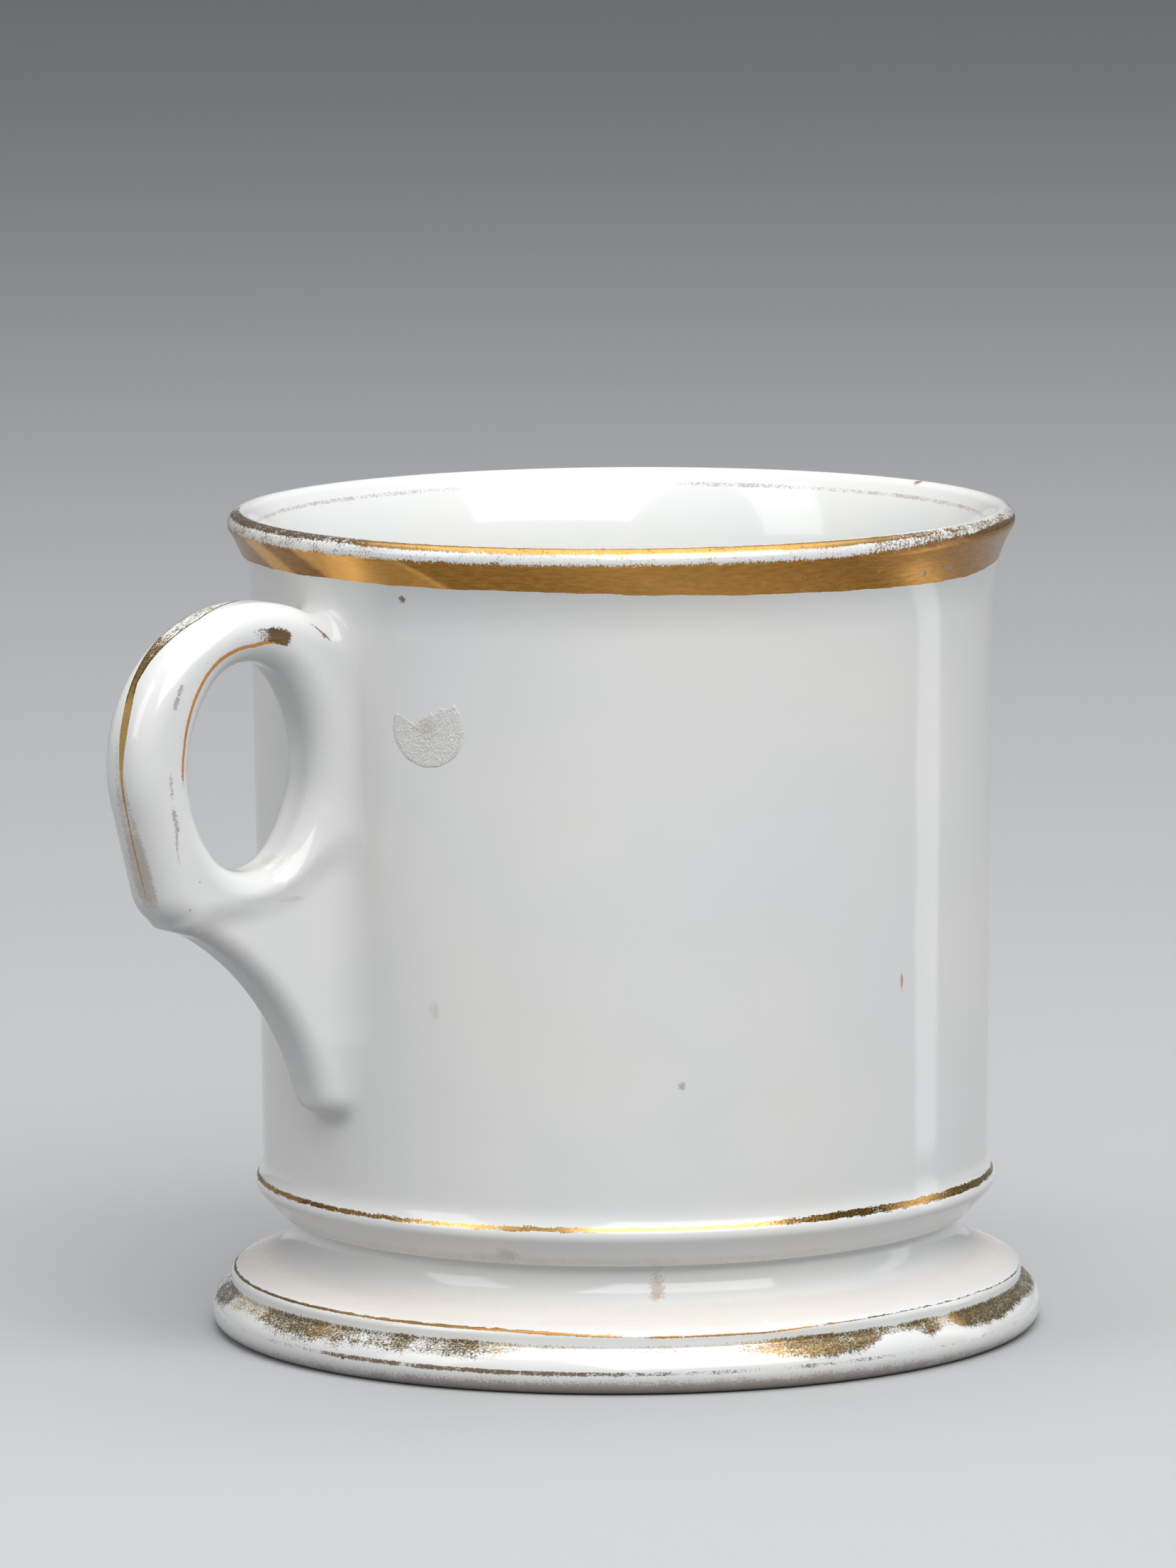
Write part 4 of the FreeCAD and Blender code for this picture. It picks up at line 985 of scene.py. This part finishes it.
# %% Build the film
FILM_RINGS, FILM_SPOKES = 30, 220
film_points, film_faces = [], []
for level in (0, 1):
    for ring in range(1, FILM_RINGS + 1):
        for spoke in range(FILM_SPOKES):
            angle = 360 * spoke / FILM_SPOKES
            reach = film_reach(angle) * ring / FILM_RINGS
            across, up = reach * heading(angle) - (0, GLUE_DROP)
            place = Vector((across, up, 0))
            coarse, fine = noise.noise(place * 2.4), noise.noise(place * 6 + Vector((9, 0, 0)))
            crinkle = 0.6 * abs(coarse) + 0.4 * abs(fine)
            # the film thins out to nothing at its round edge and curls up in places where it is torn
            edge = min(1.0, (FILM_RINGS - ring) / 2.5)
            curl = 0.3 * (1 - edge) * max(0, noise.noise(place * 1.7)) * (30 < angle < 155)
            lift = -0.03 if level == 0 else -0.01 + edge * (0.03 + 0.12 * crinkle) + curl
            height = GLUE_HEIGHT + up
            wall = float(wall_radius(height))
            around_wall = GLUE_TURN + math.degrees(across / wall)
            film_points.append((*(-(wall + lift) * heading(around_wall)), height))
for level in (0, 1):
    start, middle = level * FILM_RINGS * FILM_SPOKES, len(film_points)
    ring_points = np.array(film_points[start:start + FILM_SPOKES])
    film_points.append(tuple(ring_points.mean(axis=0)))
    for spoke in range(FILM_SPOKES):
        after = (spoke + 1) % FILM_SPOKES
        film_faces.append((start + spoke, start + after, middle))
        for ring in range(FILM_RINGS - 1):
            low_ring, high_ring = start + ring * FILM_SPOKES, start + (ring + 1) * FILM_SPOKES
            film_faces.append((low_ring + spoke, high_ring + spoke, high_ring + after, low_ring + after))
below, above = (FILM_RINGS - 1) * FILM_SPOKES, (2 * FILM_RINGS - 1) * FILM_SPOKES
for spoke in range(FILM_SPOKES):
    after = (spoke + 1) % FILM_SPOKES
    film_faces.append((below + spoke, below + after, above + after, above + spoke))

film_mesh = bpy.data.meshes.new("label_glue_film")
film_mesh.from_pydata([tuple(MM * c for c in point) for point in film_points], [], film_faces)
film_work = bmesh.new()
film_work.from_mesh(film_mesh)
bmesh.ops.recalc_face_normals(film_work, faces=film_work.faces)
open_count = sum(not edge.is_manifold for edge in film_work.edges)
print("film:", len(film_work.faces), "faces,", open_count, "open edges")
print("film's volume, mm3:", round(film_work.calc_volume(signed=True) * 1e9, 2))
film_work.to_mesh(film_mesh)
film_work.free()
film_mesh.polygons.foreach_set("use_smooth", np.ones(len(film_mesh.polygons), bool))
film = bpy.data.objects.new("label_glue_film", film_mesh)
bpy.context.scene.collection.objects.link(film)

# %% Dried glue
# dried paste: a clouded, slightly yellow film, glossier on its ridges, which scatters more light than glaze
dried_glue = bpy.data.materials.new("dried_label_glue")
dried_glue.use_nodes = True
tree = dried_glue.node_tree
shader = tree.nodes["Principled BSDF"]
shader.inputs["IOR"].default_value = 1.48
film_spot = add(tree, "ShaderNodeTexCoord").outputs["Object"]
film_spot = add(tree, VECTORS, {0: film_spot, "Scale": 1000.0}, operation="SCALE").outputs[0]
flakes = add(tree, NOISE, {"Vector": film_spot, "Scale": 5.0, "Detail": 3.0, "Roughness": 0.7}).outputs[0]
flakes = add(tree, RANGE, {0: flakes, 1: 0.35, 2: 0.65}).outputs[0]
film_colour = add(tree, MIX, {0: flakes, 6: to_linear("#D4D3CC"), 7: to_linear("#F2F2F0")}, data_type="RGBA")
stain_middle = (*(-(WALL_LOW + 0.7) * heading(GLUE_TURN)), GLUE_HEIGHT + 0.2)
stain_gap = add(tree, VECTORS, {0: film_spot, 1: stain_middle}, operation="DISTANCE").outputs["Value"]
stain_mask = add(tree, RANGE, {0: stain_gap, 1: 1.6, 2: 0.4, 3: 0.0, 4: 0.4}).outputs[0]
film_colour = add(tree, MIX, {0: stain_mask, 6: film_colour.outputs[2], 7: to_linear("#C4B6A6")},
                  data_type="RGBA")
tree.links.new(film_colour.outputs[2], shader.inputs["Base Color"])
film_rough = add(tree, RANGE, {0: flakes, 1: 0.0, 2: 1.0, 3: 0.45, 4: 0.22}).outputs[0]
tree.links.new(film_rough, shader.inputs["Roughness"])
film_bump = add(tree, "ShaderNodeBump", {"Strength": 1.0, "Distance": 0.05 * MM, "Height": flakes})
tree.links.new(film_bump.outputs[0], shader.inputs["Normal"])
film_mesh.materials.append(dried_glue)
print("glue tree:", len(tree.nodes), "nodes")

# %% [markdown]
# ## Studio and camera
# The mug stands on a plain pale floor under large soft lamps, which is how such a piece is photographed: a
# glaze shows the lamps as broad soft reflections. The camera was fitted to the ellipses of the rim, ring and
# foot. It looks slightly down, from the left front, with a long lens from more than a metre away.

# %% Floor
paper = bpy.data.materials.new("matt_studio_paper")
paper.use_nodes = True
paper_shader = paper.node_tree.nodes["Principled BSDF"]
paper_shader.inputs["Roughness"].default_value = 0.9
paper_shader.inputs["Specular IOR Level"].default_value = 0.1

# seen directly or in a reflection the paper is pale; it throws little light up, as in the photograph
tree = paper.node_tree
ray = add(tree, "ShaderNodeLightPath").outputs
seen = add(tree, MATH, {0: ray["Is Camera Ray"], 1: ray["Is Glossy Ray"]}, operation="MAXIMUM").outputs[0]
seen = add(tree, MATH, {0: seen, 1: ray["Is Transmission Ray"]}, operation="MAXIMUM").outputs[0]
paper_colour = add(tree, MIX, {0: seen, 6: to_linear("#76777A"), 7: to_linear("#B4B5B6")}, data_type="RGBA")
tree.links.new(paper_colour.outputs[2], paper_shader.inputs["Base Color"])

FLOOR_RADIUS = 6
floor_mesh = bpy.data.meshes.new("studio_floor")
floor_points = [(*(FLOOR_RADIUS * heading(angle)), 0) for angle in range(0, 360, 5)]
floor_mesh.from_pydata(floor_points, [], [tuple(range(len(floor_points)))])
floor_mesh.materials.append(paper)
studio_floor = bpy.data.objects.new("studio_floor", floor_mesh)
bpy.context.scene.collection.objects.link(studio_floor)

# %% Camera
VIEW = Vector((0.6018, 0.7986, 0))
RIGHT = Vector((VIEW.y, -VIEW.x, 0))
TILT, ROLL = math.radians(7.62), math.radians(-0.4)
LENS_PLACE = (-0.7036, -0.9272, 0.2165)

lens = bpy.data.cameras.new("long_lens")
lens.sensor_fit, lens.sensor_height, lens.lens = "VERTICAL", 36, 241
lens.clip_start, lens.clip_end = 0.05, 50
camera = bpy.data.objects.new("camera", lens)
forward = VIEW * math.cos(TILT) - Vector((0, 0, math.sin(TILT)))
upward = RIGHT.cross(forward)
facing = Matrix((RIGHT, upward, -forward)).transposed().to_4x4()
camera.matrix_world = Matrix.Translation(LENS_PLACE) @ facing @ Matrix.Rotation(ROLL, 4, "Z")
bpy.context.scene.collection.objects.link(camera)
bpy.context.scene.camera = camera
print("camera looks along", [round(c, 3) for c in forward])

# %% Lamps
MUG_MIDDLE = Vector((0, 0, 0.05))


def soft_box(name, around, up, distance, wide, high, power):
    """A rectangular lamp, placed by its turn to the right of the camera and its height angle."""
    lamp = bpy.data.lights.new(name, "AREA")
    lamp.shape, lamp.size, lamp.size_y, lamp.energy = "RECTANGLE", wide, high, power
    box = bpy.data.objects.new(name, lamp)
    away = Matrix.Rotation(math.radians(around), 3, "Z") @ -VIEW
    away = away * math.cos(math.radians(up)) + Vector((0, 0, math.sin(math.radians(up))))
    box.location = MUG_MIDDLE + distance * away
    box.rotation_euler = (-away).to_track_quat("-Z", "Y").to_euler()
    bpy.context.scene.collection.objects.link(box)
    return box


soft_box("key_soft_box", 24, 46, 1.3, 1.3, 1.0, 15.5)
soft_box("left_soft_box", -62, 30, 1.5, 0.6, 0.9, 4.5)
soft_box("top_soft_box", 180, 84, 1.2, 1.4, 1.4, 11.8)

# a narrow strip beside the mug draws the thin upright reflection on the right of the wall; the floor, which
# it nearly touches, is left out of its light
strip = soft_box("strip_box", 97, 0, 0.145, 0.028, 0.1, 0.011)
not_lit = bpy.data.collections.new("not_lit_by_the_strip")
not_lit.objects.link(studio_floor)
not_lit.collection_objects[0].light_linking.link_state = "EXCLUDE"
strip.light_linking.receiver_collection = not_lit

# %% Air and picture
world = bpy.data.worlds.new("studio_air")
world.use_nodes = True
air = world.node_tree.nodes["Background"].inputs
air["Color"].default_value = to_linear("#EDEEF0")
air["Strength"].default_value = 0.3
bpy.context.scene.world = world
bpy.context.scene.view_settings.view_transform = "Standard"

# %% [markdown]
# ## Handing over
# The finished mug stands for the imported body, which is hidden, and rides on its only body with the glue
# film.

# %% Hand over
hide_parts("mug")
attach(mug, "root")
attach(film, "root")
